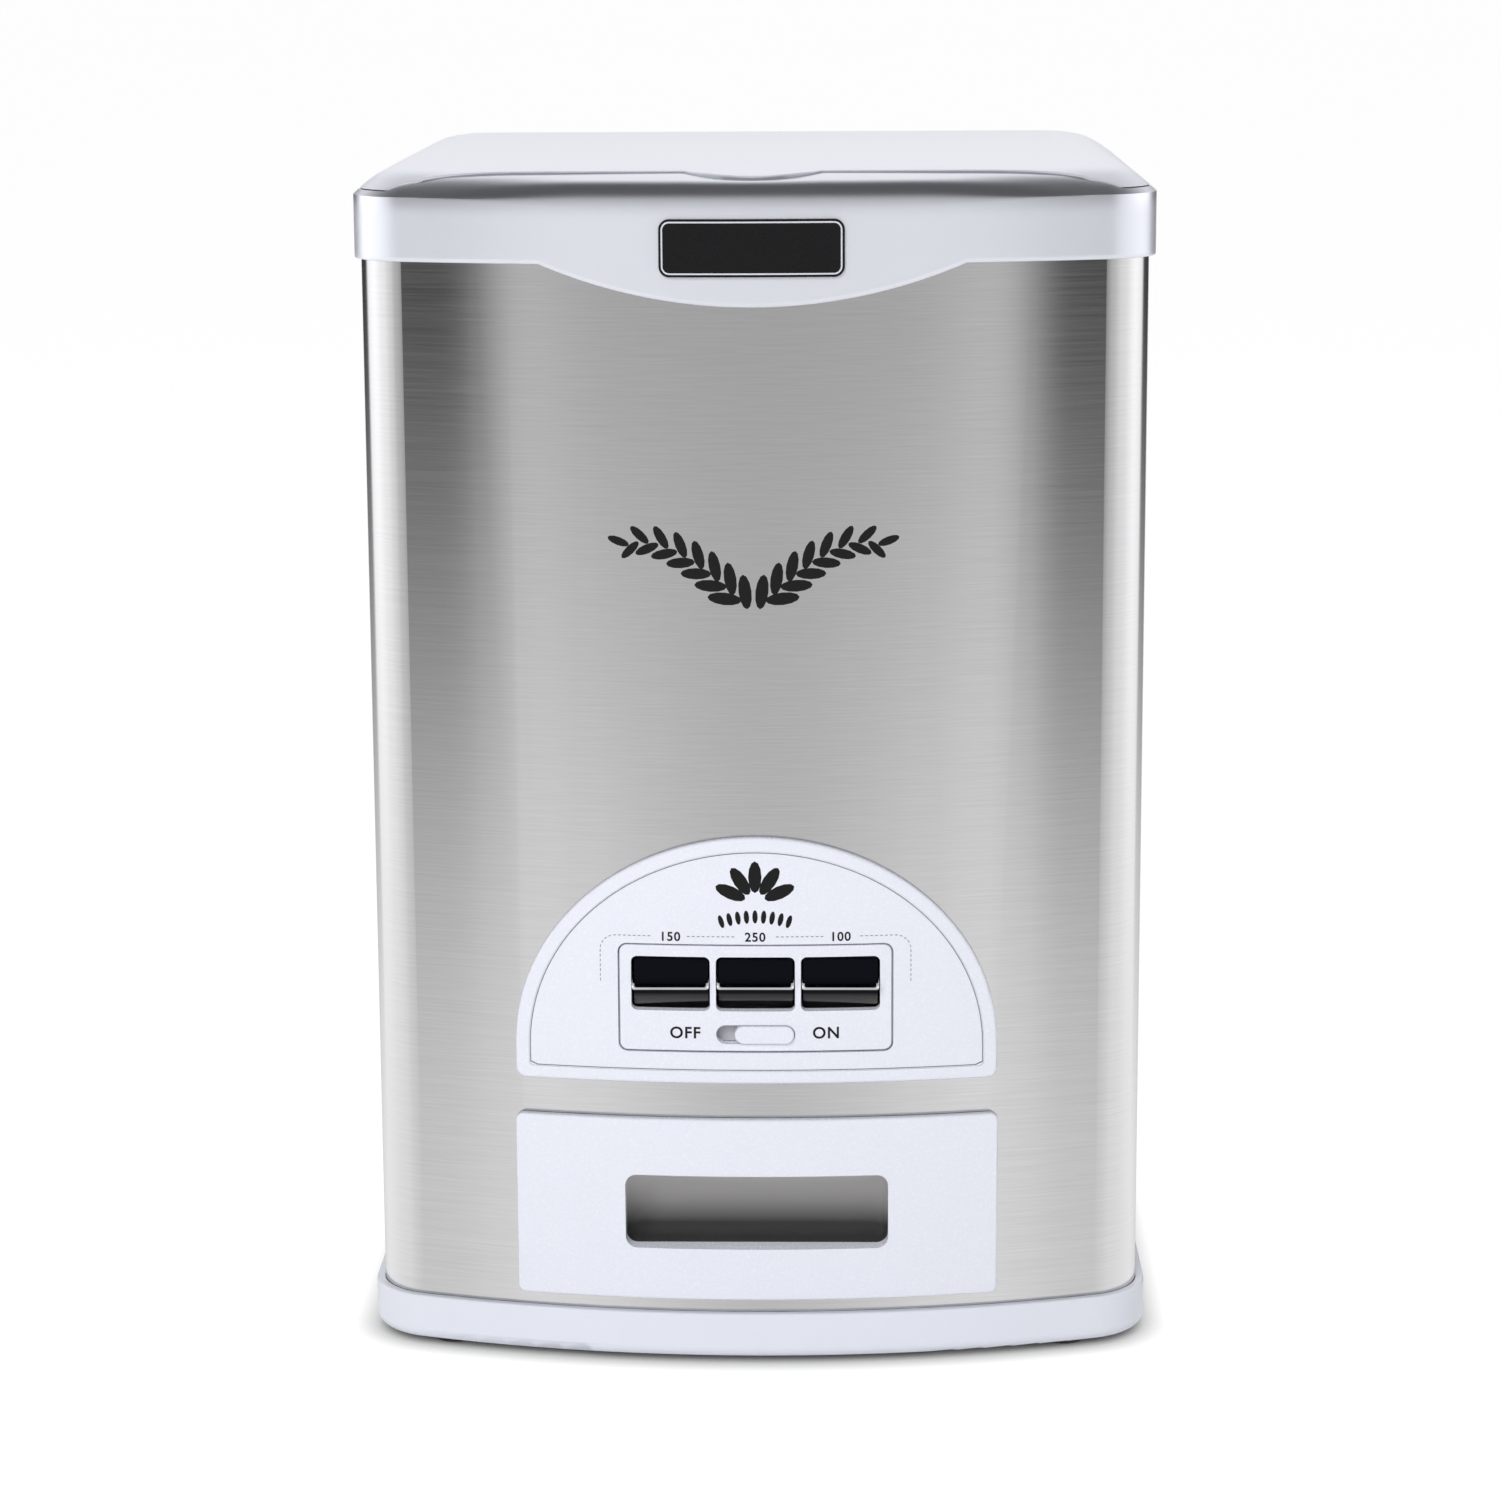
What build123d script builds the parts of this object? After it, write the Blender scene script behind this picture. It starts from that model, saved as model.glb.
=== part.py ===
from build123d import *
import os
from math import asin, cos, radians, sin, sqrt

os.makedirs("parts", exist_ok=True)

# Casing: sheet steel, bowed at the front
casing_width = 305.0
casing_depth = 262.0
bow_radius = 430.0
front_corner_radius = 26.0
back_corner_radius = 24.0
sheet = 0.6
seat_gap = 0.25
rear_flange_width = 50.5
rear_overlap = 14.0
rear_panel_inset = 8.0

# Rivets of the rear sheet
rivet_radius = 1.6
rivet_head_radius = 3.2
rivet_head = 1.0
rivet_tail_radius = 2.6
rivet_tail = 1.2
rivets_per_side = 5
rivet_end_margin = 33.9
rivet_round_share = 0.8

# Fits and turns
half_turn = 180
running_gap = 0.05
slide_gap = 0.3
overrun = 20.0

# Base and feet
foot_stand = 2.0
foot_radius = 9.0
foot_recess = 1.2
foot_edge = 0.6
foot_inset = 30.0
base_proud = 3.5
base_height = 18.4
base_floor = 3.0
base_edge_radius = 4.5
base_rim_edge = 1.0
locating_wall = 2.5
base_locating_height = 11.0

# Screws, pan headed
screw_radius = 1.5
screw_head_radius = 3.0
screw_head = 2.0
screw_cross_long = 3.4
screw_cross_wide = 0.8
screw_cross_depth = 1.0
head_play = 0.3

# Support frame round the drawer bay
bay_inset = 4.0
frame_wall = 2.5
frame_front_setback = 16.0
frame_back_setback = 228.0
deck_rise = 5.8
deck = 3.0
runner_width = 8.0
runner_height = 3.0
runner_rise = 3.6
frame_ear_width = 14.0
frame_ear_length = 16.0
frame_ear_height = 9.0
frame_ear_front_setback = 60.0
frame_ear_back_setback = 200.0
base_screw_length = 9.0

# Drawer
drawer_front_width = 190.0
drawer_front_bottom = 26.2
drawer_front_height = 74.0
drawer_front_corner = 3.0
drawer_front_edge = 1.2
drawer_gap = 0.4
drawer_proud = 4.0
drawer_opening_margin = 2.6
pull_width = 103.5
pull_rise = 21.1
pull_height = 30.0
pull_corner = 4.6
pull_rim = 2.0
pull_rim_setback = 6.0
tray_side_play = 3.0
tray_front_setback = 14.0
tray_back_setback = 216.0
tray_drop = 5.2
tray_wall = 2.0
tray_corner = 6.0
pocket_margin = 2.0
pocket_setback = 40.0
drawer_boss_radius = 4.0
drawer_boss_side = 14.0
drawer_boss_inset = 10.0
drawer_screw_length = 8.0

# Dosing block, its chambers as wide as their doses ask
dose_left = 150
dose_mid = 250
dose_right = 100
width_per_gram = 0.2
block_wall = 2.5
block_partition = 5.0
chamber_front_setback = 77.5
chamber_length = 100.0
chamber_height = 63.0
block_nose_setback = 10.0
cheek_nose_setback = 27.0
cheek_rise = 11.0
valve_mid_setback = 125.0
port_length = 40.0
port_side_margin = 3.0
block_ear = 11.0
block_ear_length = 14.0
block_ear_front_setback = 92.0
block_ear_back_setback = 165.0
block_screw_length = 5.0

# Dosing levers and their shaft
shaft_setback = 38.0
tail_bite = 0.4
shaft_radius = 3.0
shaft_overhang = 4.0
clip_radius = 6.0
clip_thickness = 1.0
clip_gap = 0.5
hub_radius = 8.0
lever_side_gap = 0.6
arm_width = 5.0
arm_below = 4.0
arm_above = 2.0
arm_front_reach = 31.4
tail_web = 4.0
stem_length = 12.0
valve_plate = 2.0
valve_overlap = 2.0
valve_gap = 0.5
valve_side_gap = 1.0
tail_slot_gap = 0.8
press_angle = 11.0

# Key caps
key_pitch = 33.1
window_width = 30.8
window_drop = 7.7
window_height = 21.7
window_corner = 2.4
key_side_gap = 0.4
apron_radius = 34.0
apron_wall = 1.8
apron_low_angle = 14.5
apron_high_angle = 37.0
lip_reach = 5.5
lip_rise = 1.4
lip_thickness = 2.8
lip_edge = 0.7
lip_rim = 1.3
lip_dish = 1.0
key_clip_wall = 2.0
key_clip_gap = 0.2
key_clip_setback = 12.5

# Return springs
spring_setback = 18.0
spring_radius = 4.0
spring_wire = 1.0
spring_turns = 8

# Control fascia
fascia_width = 189.0
fascia_below = 13.4
fascia_straight = 13.8
fascia_rise = 84.8
fascia_corner = 4.0
fascia_gap = 0.3
fascia_proud = 3.8
fascia_edge = 1.4
border = 5.2
label_corner = 2.0
label_recess = 0.6
label_gap = 0.1
label_sheet = 0.35
fascia_boss_radius = 4.0
fascia_boss_gap = 0.3
fascia_low_side = 14.5
fascia_low_rise = 9.2
fascia_high_across = 46.0
fascia_high_rise = 76.2
fascia_screw_length = 3.0

# Key bezel and lock
bezel_width = 106.0
bezel_top_margin = 4.4
bezel_corner = 3.0
bezel_gap = 0.7
bezel_proud = 3.6
bezel_edge = 0.5
flange_margin = 2.4
flange_outer = 0.1
flange_inner = 1.0
opening_play = 0.4
slot_length = 30.8
slot_height = 7.6
slot_drop = 9.4
slot_margin = 6.7
knob_length = 23.2
knob_proud = 5.2
knob_edge = 0.8
bar_setback = 3.4
bar_thickness = 1.6
bar_height = 8.2
bar_length = 70.0
rail_length = 92.0
rail_thickness = 1.6
rail_setback = 5.2
tongue_width = 4.0
tongue_height = 3.0
tongue_setback = 10.0

# Hopper
hopper_wall = 2.0
hopper_band = 18.0
hopper_rise = 90.0
hopper_flange = 2.5
throat_margin = 2.0
hopper_screw_length = 5.0

# Lid: collar, flap, seal and hinge
lid_proud = 2.5
skirt_height = 26.4
lobe_drop = 16.0
lobe_width = 162.0
part_line = 460.0
collar_flange = 3.0
crown_height = 11.5
crown_rise = 4.2
crown_inset = 18.5
rim_drop = 2.0
shoulder_width = 26.0
shoulder_bend_share = 1.8
shoulder_shares = (0, 0.1, 0.25, 0.45, 0.7, 0.92)
hollow_drop = 3.5
split_setback = 24.0
split_gap = 0.6
flap_gap = 0.4
flap_wall = 2.5
flap_corner_radius = 24.0
rear_ledge = 16.0
collar_locating_depth = 14.0
mouth_margin = 22.0
mouth_side_margin = 34.5
mouth_radius = 20.0
mouth_lip = 3.0
mouth_lip_wall = 2.0
tab_width = 51.0
tab_reach = 15.0
tab_gap = 0.9
tab_recess_floor = 1.0
tab_thickness = 2.6
seal_width = 5.0
hinge_spread = 150.0
hinge_setback = 5.0
hinge_rise = 4.8
barrel_radius = 4.0
flap_knuckle = 18.0
collar_knuckle = 10.0
knuckle_gap = 0.4
knuckle_web = 5.0
knuckle_root = 4.0
pin_radius = 2.0
collar_screw_drop = 12.0
collar_screw_across = 62.0
collar_screw_bite = 1.4

# Name plate, bare
plate_width = 70.0
plate_height = 21.7
plate_rise = 6.4
plate_thickness = 1.2
plate_corner = 4.0
plate_gap = 0.1

# Places that follow from the sizes above
casing_front = lip_reach - (lip_reach + casing_depth + base_proud) / 2
casing_back = casing_front + casing_depth
bow_centre = casing_front + bow_radius
casing_bottom = foot_stand + base_floor
casing_top = part_line - collar_flange - seat_gap
locating_gap = 2 * sheet + seat_gap
rear_opening_width = casing_width - 2 * rear_flange_width
rivet_pitch = (casing_top - casing_bottom - 2 * rivet_end_margin) / (rivets_per_side - 1)
rivet_mid_height = (casing_top + casing_bottom) / 2
bay_width = drawer_front_width - 2 * bay_inset
tray_width = bay_width - 2 * tray_side_play
drawer_top = drawer_front_bottom + drawer_front_height
runner_top = drawer_front_bottom + runner_rise
tray_top = drawer_top - tray_drop
deck_top = drawer_top + deck_rise
pull_bottom = drawer_front_bottom + pull_rise
drawer_boss_across = tray_width / 2 - drawer_boss_side
shaft_y = casing_front + shaft_setback
chamber_front = casing_front + chamber_front_setback
chamber_floor = deck_top + block_wall
chamber_roof = chamber_floor + chamber_height
block_top = chamber_roof + block_wall
tail_fall = (valve_mid_setback - shaft_setback) * sin(radians(press_angle))
shaft_height = chamber_roof - valve_gap - valve_plate - tail_fall - tail_bite
cheek_top = shaft_height + cheek_rise
window_bottom = shaft_height - window_drop
lip_bottom = shaft_height + lip_rise
slot_mid_height = window_bottom - slot_drop
bezel_bottom = slot_mid_height - slot_margin
bezel_height = slot_margin + slot_drop + window_height + bezel_top_margin
fascia_bottom = bezel_bottom - fascia_below
fascia_low_across = fascia_width / 2 - fascia_low_side
fascia_low_height = fascia_bottom + fascia_low_rise
fascia_high_height = fascia_bottom + fascia_high_rise
hopper_slope_top = block_top + hopper_rise
hopper_band_top = hopper_slope_top + hopper_band
skirt_bottom = part_line - skirt_height
lobe_bottom = skirt_bottom - lobe_drop
lid_apex = part_line + crown_height
collar_screw_height = part_line - collar_screw_drop
plate_mid_height = skirt_bottom + plate_rise
mouth_width = casing_width - 2 * mouth_side_margin
valve_mid = casing_front + valve_mid_setback
lid_split = casing_front + split_setback
flap_back = casing_back + lid_proud - rear_ledge
mouth_mid = (lid_split + flap_back) / 2
crown_mid = flap_back - crown_inset
crown_reach = crown_mid - lid_split
crown_radius = (crown_reach**2 + crown_rise**2) / (2 * crown_rise)
rim_height = part_line - rim_drop
hinge_y = flap_back + hinge_setback
hinge_z = part_line + hinge_rise
mouth_depth = flap_back - lid_split - 2 * mouth_margin
tab_radius = (tab_width**2 / 4 + tab_reach**2) / (2 * tab_reach)
tab_centre = lid_split - tab_reach + tab_radius
fascia_spring_line = fascia_bottom + fascia_straight
bezel_mid = bezel_bottom + bezel_height / 2
window_mid = window_bottom + window_height / 2
drawer_mid = drawer_front_bottom + drawer_front_height / 2
pull_mid = pull_bottom + pull_height / 2
opening_width = bezel_width + 2 * (flange_margin + opening_play)
opening_height = bezel_height + 2 * (flange_margin + opening_play)

# Chambers: name, left side, right side, middle of the key
mid_half = dose_mid * width_per_gram / 2
left_edge = -mid_half - block_partition
right_edge = mid_half + block_partition
chambers = {
    "150": (left_edge - dose_left * width_per_gram, left_edge, -key_pitch),
    "250": (-mid_half, mid_half, 0),
    "100": (right_edge, right_edge + dose_right * width_per_gram, key_pitch),
}
block_left = chambers["150"][0] - block_wall
block_right = chambers["100"][1] + block_wall
block_mid = (block_left + block_right) / 2
block_width = block_right - block_left


def plan(grow):
    """Outline of the casing seen from above, moved outwards by grow."""
    half = casing_width / 2 + grow
    bow = bow_radius + grow
    front = casing_front - grow
    back = casing_back + grow
    shoulder = bow_centre - sqrt(bow**2 - half**2)
    with BuildSketch(Plane.XY, mode=Mode.PRIVATE) as outline:
        with BuildLine():
            ThreePointArc((-half, shoulder), (0, front), (half, shoulder))
            Polyline((half, shoulder), (half, back), (-half, back), (-half, shoulder))
        make_face()
        fillet(outline.vertices().group_by(Axis.Y)[0], front_corner_radius + grow)
        fillet(outline.vertices().group_by(Axis.Y)[-1], back_corner_radius + grow)
    return outline.sketch


def bow_setback(across):
    """How far the casing front lies behind its middle at this place across."""
    return bow_radius - sqrt(bow_radius**2 - across**2)


def front_plane(across, height, grow):
    """Plane on the bowed front, grown outwards, facing straight out of it."""
    turn = asin(across / bow_radius)
    reach = bow_radius + grow
    place = (reach * sin(turn), bow_centre - reach * cos(turn), height)
    return Plane(place, x_dir=(cos(turn), sin(turn), 0), z_dir=(sin(turn), -cos(turn), 0))


def front_patch(outline, outer, inner):
    """Bowed plate at the front: the outline pressed through the skin between two grown plans."""
    outer_plan = plan(outer)
    inner_plan = plan(inner)
    with BuildPart(mode=Mode.PRIVATE) as patch:
        with BuildSketch(Plane.XY):
            add(outer_plan)
            add(inner_plan, mode=Mode.SUBTRACT)
        extrude(amount=lid_apex)
        with BuildSketch(Plane.XZ):
            add(outline)
        extrude(amount=casing_depth, mode=Mode.INTERSECT)
    return patch.part


def rounded(width, height, radius, middle):
    """Rounded rectangle for the front, its middle at a height."""
    with BuildSketch(Plane.XY, mode=Mode.PRIVATE) as outline:
        with Locations((0, middle)):
            RectangleRounded(width, height, radius)
    return outline.sketch


def arch(inset, corner):
    """D-shaped outline of the fascia, drawn in by inset."""
    half = fascia_width / 2 - inset
    rise = fascia_rise - inset
    bottom = fascia_bottom + inset
    with BuildSketch(Plane.XY, mode=Mode.PRIVATE) as outline:
        with BuildLine():
            EllipticalCenterArc((0, fascia_spring_line), half, rise, 0, arc_size=half_turn)
            Polyline(
                (-half, fascia_spring_line), (-half, bottom), (half, bottom), (half, fascia_spring_line)
            )
        make_face()
        fillet(outline.vertices().group_by(Axis.Y)[0], corner)
    return outline.sketch


def disc(seat, radius):
    """Round face on a plane."""
    with BuildSketch(seat, mode=Mode.PRIVATE) as face:
        Circle(radius)
    return face.sketch


def cross(seat):
    """Cross-shaped face on a plane."""
    with BuildSketch(seat, mode=Mode.PRIVATE) as face:
        Rectangle(screw_cross_long, screw_cross_wide)
        Rectangle(screw_cross_wide, screw_cross_long)
    return face.sketch


def add_screw(seat, length):
    """Cross-head screw: the head stands on the seat plane, the shank runs behind it."""
    extrude(disc(seat, screw_head_radius), amount=screw_head)
    extrude(cross(seat.offset(screw_head)), amount=-screw_cross_depth, mode=Mode.SUBTRACT)
    extrude(disc(seat, screw_radius), amount=-length)


def cut_hole(seat, radius, depth):
    """Round hole from the seat plane, running behind it."""
    extrude(disc(seat, radius), amount=-depth, mode=Mode.SUBTRACT)


def keep(piece, name):
    """Label a finished piece and write it."""
    piece.part.label = name
    export_step(piece.part, f"parts/{name}.step")


screw_hole = screw_radius + running_gap

# Seats of the screws, each facing the way its head does
frame_ear_across = bay_width / 2 + frame_wall + frame_ear_width / 2
base_screw_seats = [
    Plane((side * frame_ear_across, casing_front + setback, foot_stand + screw_head + head_play),
          x_dir=(1, 0, 0), z_dir=(0, 0, -1))
    for side in (-1, 1)
    for setback in (frame_ear_front_setback, frame_ear_back_setback)
]
block_ear_across = (block_left - block_ear / 2, block_right + block_ear / 2)
block_screw_seats = [
    Plane((across, casing_front + setback, chamber_floor))
    for across in block_ear_across
    for setback in (block_ear_front_setback, block_ear_back_setback)
]
hopper_screw_seats = [
    Plane((across, casing_front + setback, block_top + hopper_flange))
    for across in block_ear_across
    for setback in (block_ear_front_setback, block_ear_back_setback)
]
fascia_places = [
    (side * across, height)
    for side in (-1, 1)
    for across, height in (
        (fascia_low_across, fascia_low_height),
        (fascia_high_across, fascia_high_height),
    )
]
drawer_boss_places = [
    (side * drawer_boss_across, height)
    for side in (-1, 1)
    for height in (
        drawer_front_bottom + drawer_boss_inset,
        drawer_front_bottom + drawer_front_height - drawer_boss_inset,
    )
]
drawer_screw_seats = [
    Plane((across, casing_front + tray_front_setback + tray_wall, height),
          x_dir=(1, 0, 0), z_dir=(0, 1, 0))
    for across, height in drawer_boss_places
]
collar_screw_seats = [
    Plane((side * (casing_width / 2 - locating_gap - locating_wall), end * collar_screw_across,
           collar_screw_height), x_dir=(0, 1, 0), z_dir=(-side, 0, 0))
    for side in (-1, 1)
    for end in (-1, 1)
]
collar_screw_length = locating_wall + locating_gap + seat_gap + collar_screw_bite
rivet_places = [
    (side * (rear_opening_width + rear_overlap) / 2,
     rivet_mid_height + (index - (rivets_per_side - 1) / 2) * rivet_pitch)
    for side in (-1, 1)
    for index in range(rivets_per_side)
]

# Base that the casing stands in
with BuildPart() as base_tray:
    with BuildSketch(Plane.XY.offset(foot_stand)):
        add(plan(base_proud))
    extrude(amount=base_height)
    fillet(base_tray.edges().group_by(Axis.Z)[0], base_edge_radius)
    fillet(base_tray.edges().group_by(Axis.Z)[-1], base_rim_edge)
    with BuildSketch(Plane.XY.offset(casing_bottom)):
        add(plan(seat_gap))
    extrude(amount=base_height, mode=Mode.SUBTRACT)
    with BuildSketch(Plane.XY.offset(casing_bottom)):
        add(plan(-locating_gap))
        add(plan(-locating_gap - locating_wall), mode=Mode.SUBTRACT)
    extrude(amount=base_locating_height)
    for seat in base_screw_seats:
        cut_hole(seat, screw_hole, overrun)
        cut_hole(seat.offset(overrun), screw_head_radius + head_play, overrun)
    with BuildSketch(Plane.XY.offset(foot_stand)):
        with GridLocations(casing_width - 2 * foot_inset, casing_depth - 2 * foot_inset, 2, 2):
            Circle(foot_radius + running_gap)
    extrude(amount=foot_recess, mode=Mode.SUBTRACT)
keep(base_tray, "base_tray")

# Rubber feet let into the underside
with BuildPart() as feet:
    with BuildSketch(Plane.XY):
        with GridLocations(casing_width - 2 * foot_inset, casing_depth - 2 * foot_inset, 2, 2):
            Circle(foot_radius)
    extrude(amount=foot_stand + foot_recess)
    fillet(feet.edges().group_by(Axis.Z)[0], foot_edge)
keep(feet, "feet")

# Steel wrap: front, sides and the turned-in back flanges
with BuildPart() as steel_wrap:
    with BuildSketch(Plane.XY.offset(casing_bottom)):
        add(plan(0))
        add(plan(-sheet), mode=Mode.SUBTRACT)
    extrude(amount=casing_top - casing_bottom)
    with BuildSketch(Plane.XZ):
        add(rounded(opening_width, opening_height, bezel_corner, bezel_mid))
        with Locations((0, drawer_mid)):
            RectangleRounded(
                drawer_front_width - 2 * drawer_opening_margin,
                drawer_front_height - 2 * drawer_opening_margin,
                drawer_front_corner,
            )
    extrude(amount=casing_depth, mode=Mode.SUBTRACT)
    for across, height in fascia_places:
        cut_hole(front_plane(across, height, overrun), fascia_boss_radius + fascia_boss_gap, 2 * overrun)
    with BuildSketch(Plane.XY.offset(casing_bottom)):
        Rectangle(rear_opening_width, casing_depth, align=(Align.CENTER, Align.MIN))
    extrude(amount=casing_top, mode=Mode.SUBTRACT)
    with BuildSketch(Plane.XZ):
        with Locations(rivet_places):
            Circle(rivet_radius + running_gap)
    extrude(amount=-casing_depth, mode=Mode.SUBTRACT)
    for seat in collar_screw_seats:
        cut_hole(seat, screw_hole, overrun)
keep(steel_wrap, "steel_wrap")

# Rear sheet, lapped inside the flanges of the wrap
with BuildPart() as rear_panel:
    with BuildSketch(Plane.XZ.offset(-casing_back + 2 * sheet)):
        with Locations((0, casing_bottom)):
            Rectangle(
                rear_opening_width + 2 * rear_overlap,
                casing_top - casing_bottom - rear_panel_inset,
                align=(Align.CENTER, Align.MIN),
            )
    extrude(amount=-sheet)
    with BuildSketch(Plane.XZ):
        with Locations(rivet_places):
            Circle(rivet_radius + running_gap)
    extrude(amount=-casing_depth, mode=Mode.SUBTRACT)
keep(rear_panel, "rear_panel")

# Rivets along both laps
with BuildPart() as rear_rivets:
    with BuildSketch(Plane.XZ.offset(-casing_back)):
        with Locations(rivet_places):
            Circle(rivet_head_radius)
    extrude(amount=-rivet_head)
    fillet(rear_rivets.edges().group_by(Axis.Y)[-1], rivet_head * rivet_round_share)
    with BuildSketch(Plane.XZ.offset(-casing_back)):
        with Locations(rivet_places):
            Circle(rivet_radius)
    extrude(amount=2 * sheet)
    with BuildSketch(Plane.XZ.offset(-casing_back + 2 * sheet)):
        with Locations(rivet_places):
            Circle(rivet_tail_radius)
    extrude(amount=rivet_tail)
keep(rear_rivets, "rear_rivets")

# Support frame: walls, deck and runners of the drawer bay
frame_height = deck_top - casing_bottom
bay_top = deck_top - deck
with BuildPart() as support_frame:
    with BuildSketch(Plane.XZ.offset(-casing_front - frame_front_setback)):
        with Locations((0, casing_bottom)):
            Rectangle(bay_width + 2 * frame_wall, frame_height, align=(Align.CENTER, Align.MIN))
        with Locations((0, casing_bottom)):
            Rectangle(bay_width, frame_height - deck, align=(Align.CENTER, Align.MIN), mode=Mode.SUBTRACT)
        with Locations((-bay_width / 2, runner_top)):
            Rectangle(runner_width, runner_height, align=(Align.MIN, Align.MAX))
        with Locations((bay_width / 2, runner_top)):
            Rectangle(runner_width, runner_height, align=(Align.MAX, Align.MAX))
    extrude(amount=frame_front_setback - frame_back_setback)
    with BuildSketch(Plane.XZ.offset(-casing_front - frame_back_setback)):
        with Locations((0, casing_bottom)):
            Rectangle(bay_width + 2 * frame_wall, frame_height, align=(Align.CENTER, Align.MIN))
    extrude(amount=frame_wall)
    with BuildSketch(Plane.XY.offset(casing_bottom)):
        with Locations([(seat.origin.X, seat.origin.Y) for seat in base_screw_seats]):
            Rectangle(frame_ear_width, frame_ear_length)
    extrude(amount=frame_ear_height)
    for seat in base_screw_seats:
        cut_hole(seat, screw_hole, base_screw_length + head_play)
    with BuildSketch(Plane.XY.offset(bay_top)):
        for left, right, key in chambers.values():
            with Locations(((left + right) / 2, valve_mid)):
                Rectangle(right - left - 2 * port_side_margin, port_length)
    extrude(amount=deck, mode=Mode.SUBTRACT)
    for seat in block_screw_seats:
        cut_hole(seat, screw_hole, overrun)
keep(support_frame, "support_frame")

# Screws that hold the frame to the base
with BuildPart() as base_screws:
    for seat in base_screw_seats:
        add_screw(seat, base_screw_length)
keep(base_screws, "base_screws")

# Drawer front with the hand hole, bowed like the casing
drawer_plate = front_patch(
    rounded(drawer_front_width, drawer_front_height, drawer_front_corner, drawer_mid),
    drawer_proud, drawer_gap,
)
with BuildPart() as drawer_front:
    add(drawer_plate)
    outer_loop = drawer_front.faces().sort_by(Axis.Y)[0].outer_wire().edges()
    fillet(outer_loop, drawer_front_edge)
    with BuildSketch(Plane.XZ.offset(-casing_front)):
        add(rounded(pull_width + 2 * pull_rim, pull_height + 2 * pull_rim, pull_corner + pull_rim, pull_mid))
    extrude(amount=-pull_rim_setback)
    for across, height in drawer_boss_places:
        boss_front = bow_setback(across) - (drawer_gap + drawer_proud) / 2
        with BuildSketch(Plane.XZ.offset(-casing_front - tray_front_setback)):
            with Locations((across, height)):
                Circle(drawer_boss_radius)
        extrude(amount=tray_front_setback - boss_front)
    with BuildSketch(Plane.XZ):
        add(rounded(pull_width, pull_height, pull_corner, pull_mid))
    extrude(amount=casing_depth, mode=Mode.SUBTRACT)
    for seat in drawer_screw_seats:
        cut_hole(seat, screw_hole, drawer_screw_length)
keep(drawer_front, "drawer_front")

# Drawer tray with the finger pocket in its front wall
tray_bottom = runner_top + slide_gap
tray_height = tray_top - tray_bottom
tray_mid_y = casing_front + (tray_front_setback + tray_back_setback) / 2
tray_length = tray_back_setback - tray_front_setback
pocket_width = pull_width + 2 * (pull_rim + pocket_margin)
pocket_height = pull_height + 2 * (pull_rim + pocket_margin)
with BuildPart() as drawer_tray:
    with BuildSketch(Plane.XY.offset(tray_bottom)):
        with Locations((0, tray_mid_y)):
            RectangleRounded(tray_width, tray_length, tray_corner)
    extrude(amount=tray_height)
    with BuildSketch(Plane.XY.offset(tray_bottom + tray_wall)):
        with Locations((0, tray_mid_y)):
            RectangleRounded(tray_width - 2 * tray_wall, tray_length - 2 * tray_wall, tray_corner - tray_wall)
    extrude(amount=tray_height, mode=Mode.SUBTRACT)
    with BuildSketch(Plane.XZ.offset(-casing_front - tray_front_setback)):
        add(rounded(pocket_width + 2 * tray_wall, pocket_height + 2 * tray_wall, tray_corner, pull_mid))
    extrude(amount=tray_front_setback - pocket_setback)
    with BuildSketch(Plane.XZ.offset(-casing_front - pocket_setback + tray_wall)):
        add(rounded(pocket_width, pocket_height, tray_corner - tray_wall, pull_mid))
    extrude(amount=pocket_setback, mode=Mode.SUBTRACT)
    for seat in drawer_screw_seats:
        cut_hole(seat, screw_hole, overrun)
keep(drawer_tray, "drawer_tray")

# Screws that hold the drawer front to the tray
with BuildPart() as drawer_screws:
    for seat in drawer_screw_seats:
        add_screw(seat, drawer_screw_length)
keep(drawer_screws, "drawer_screws")

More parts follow.
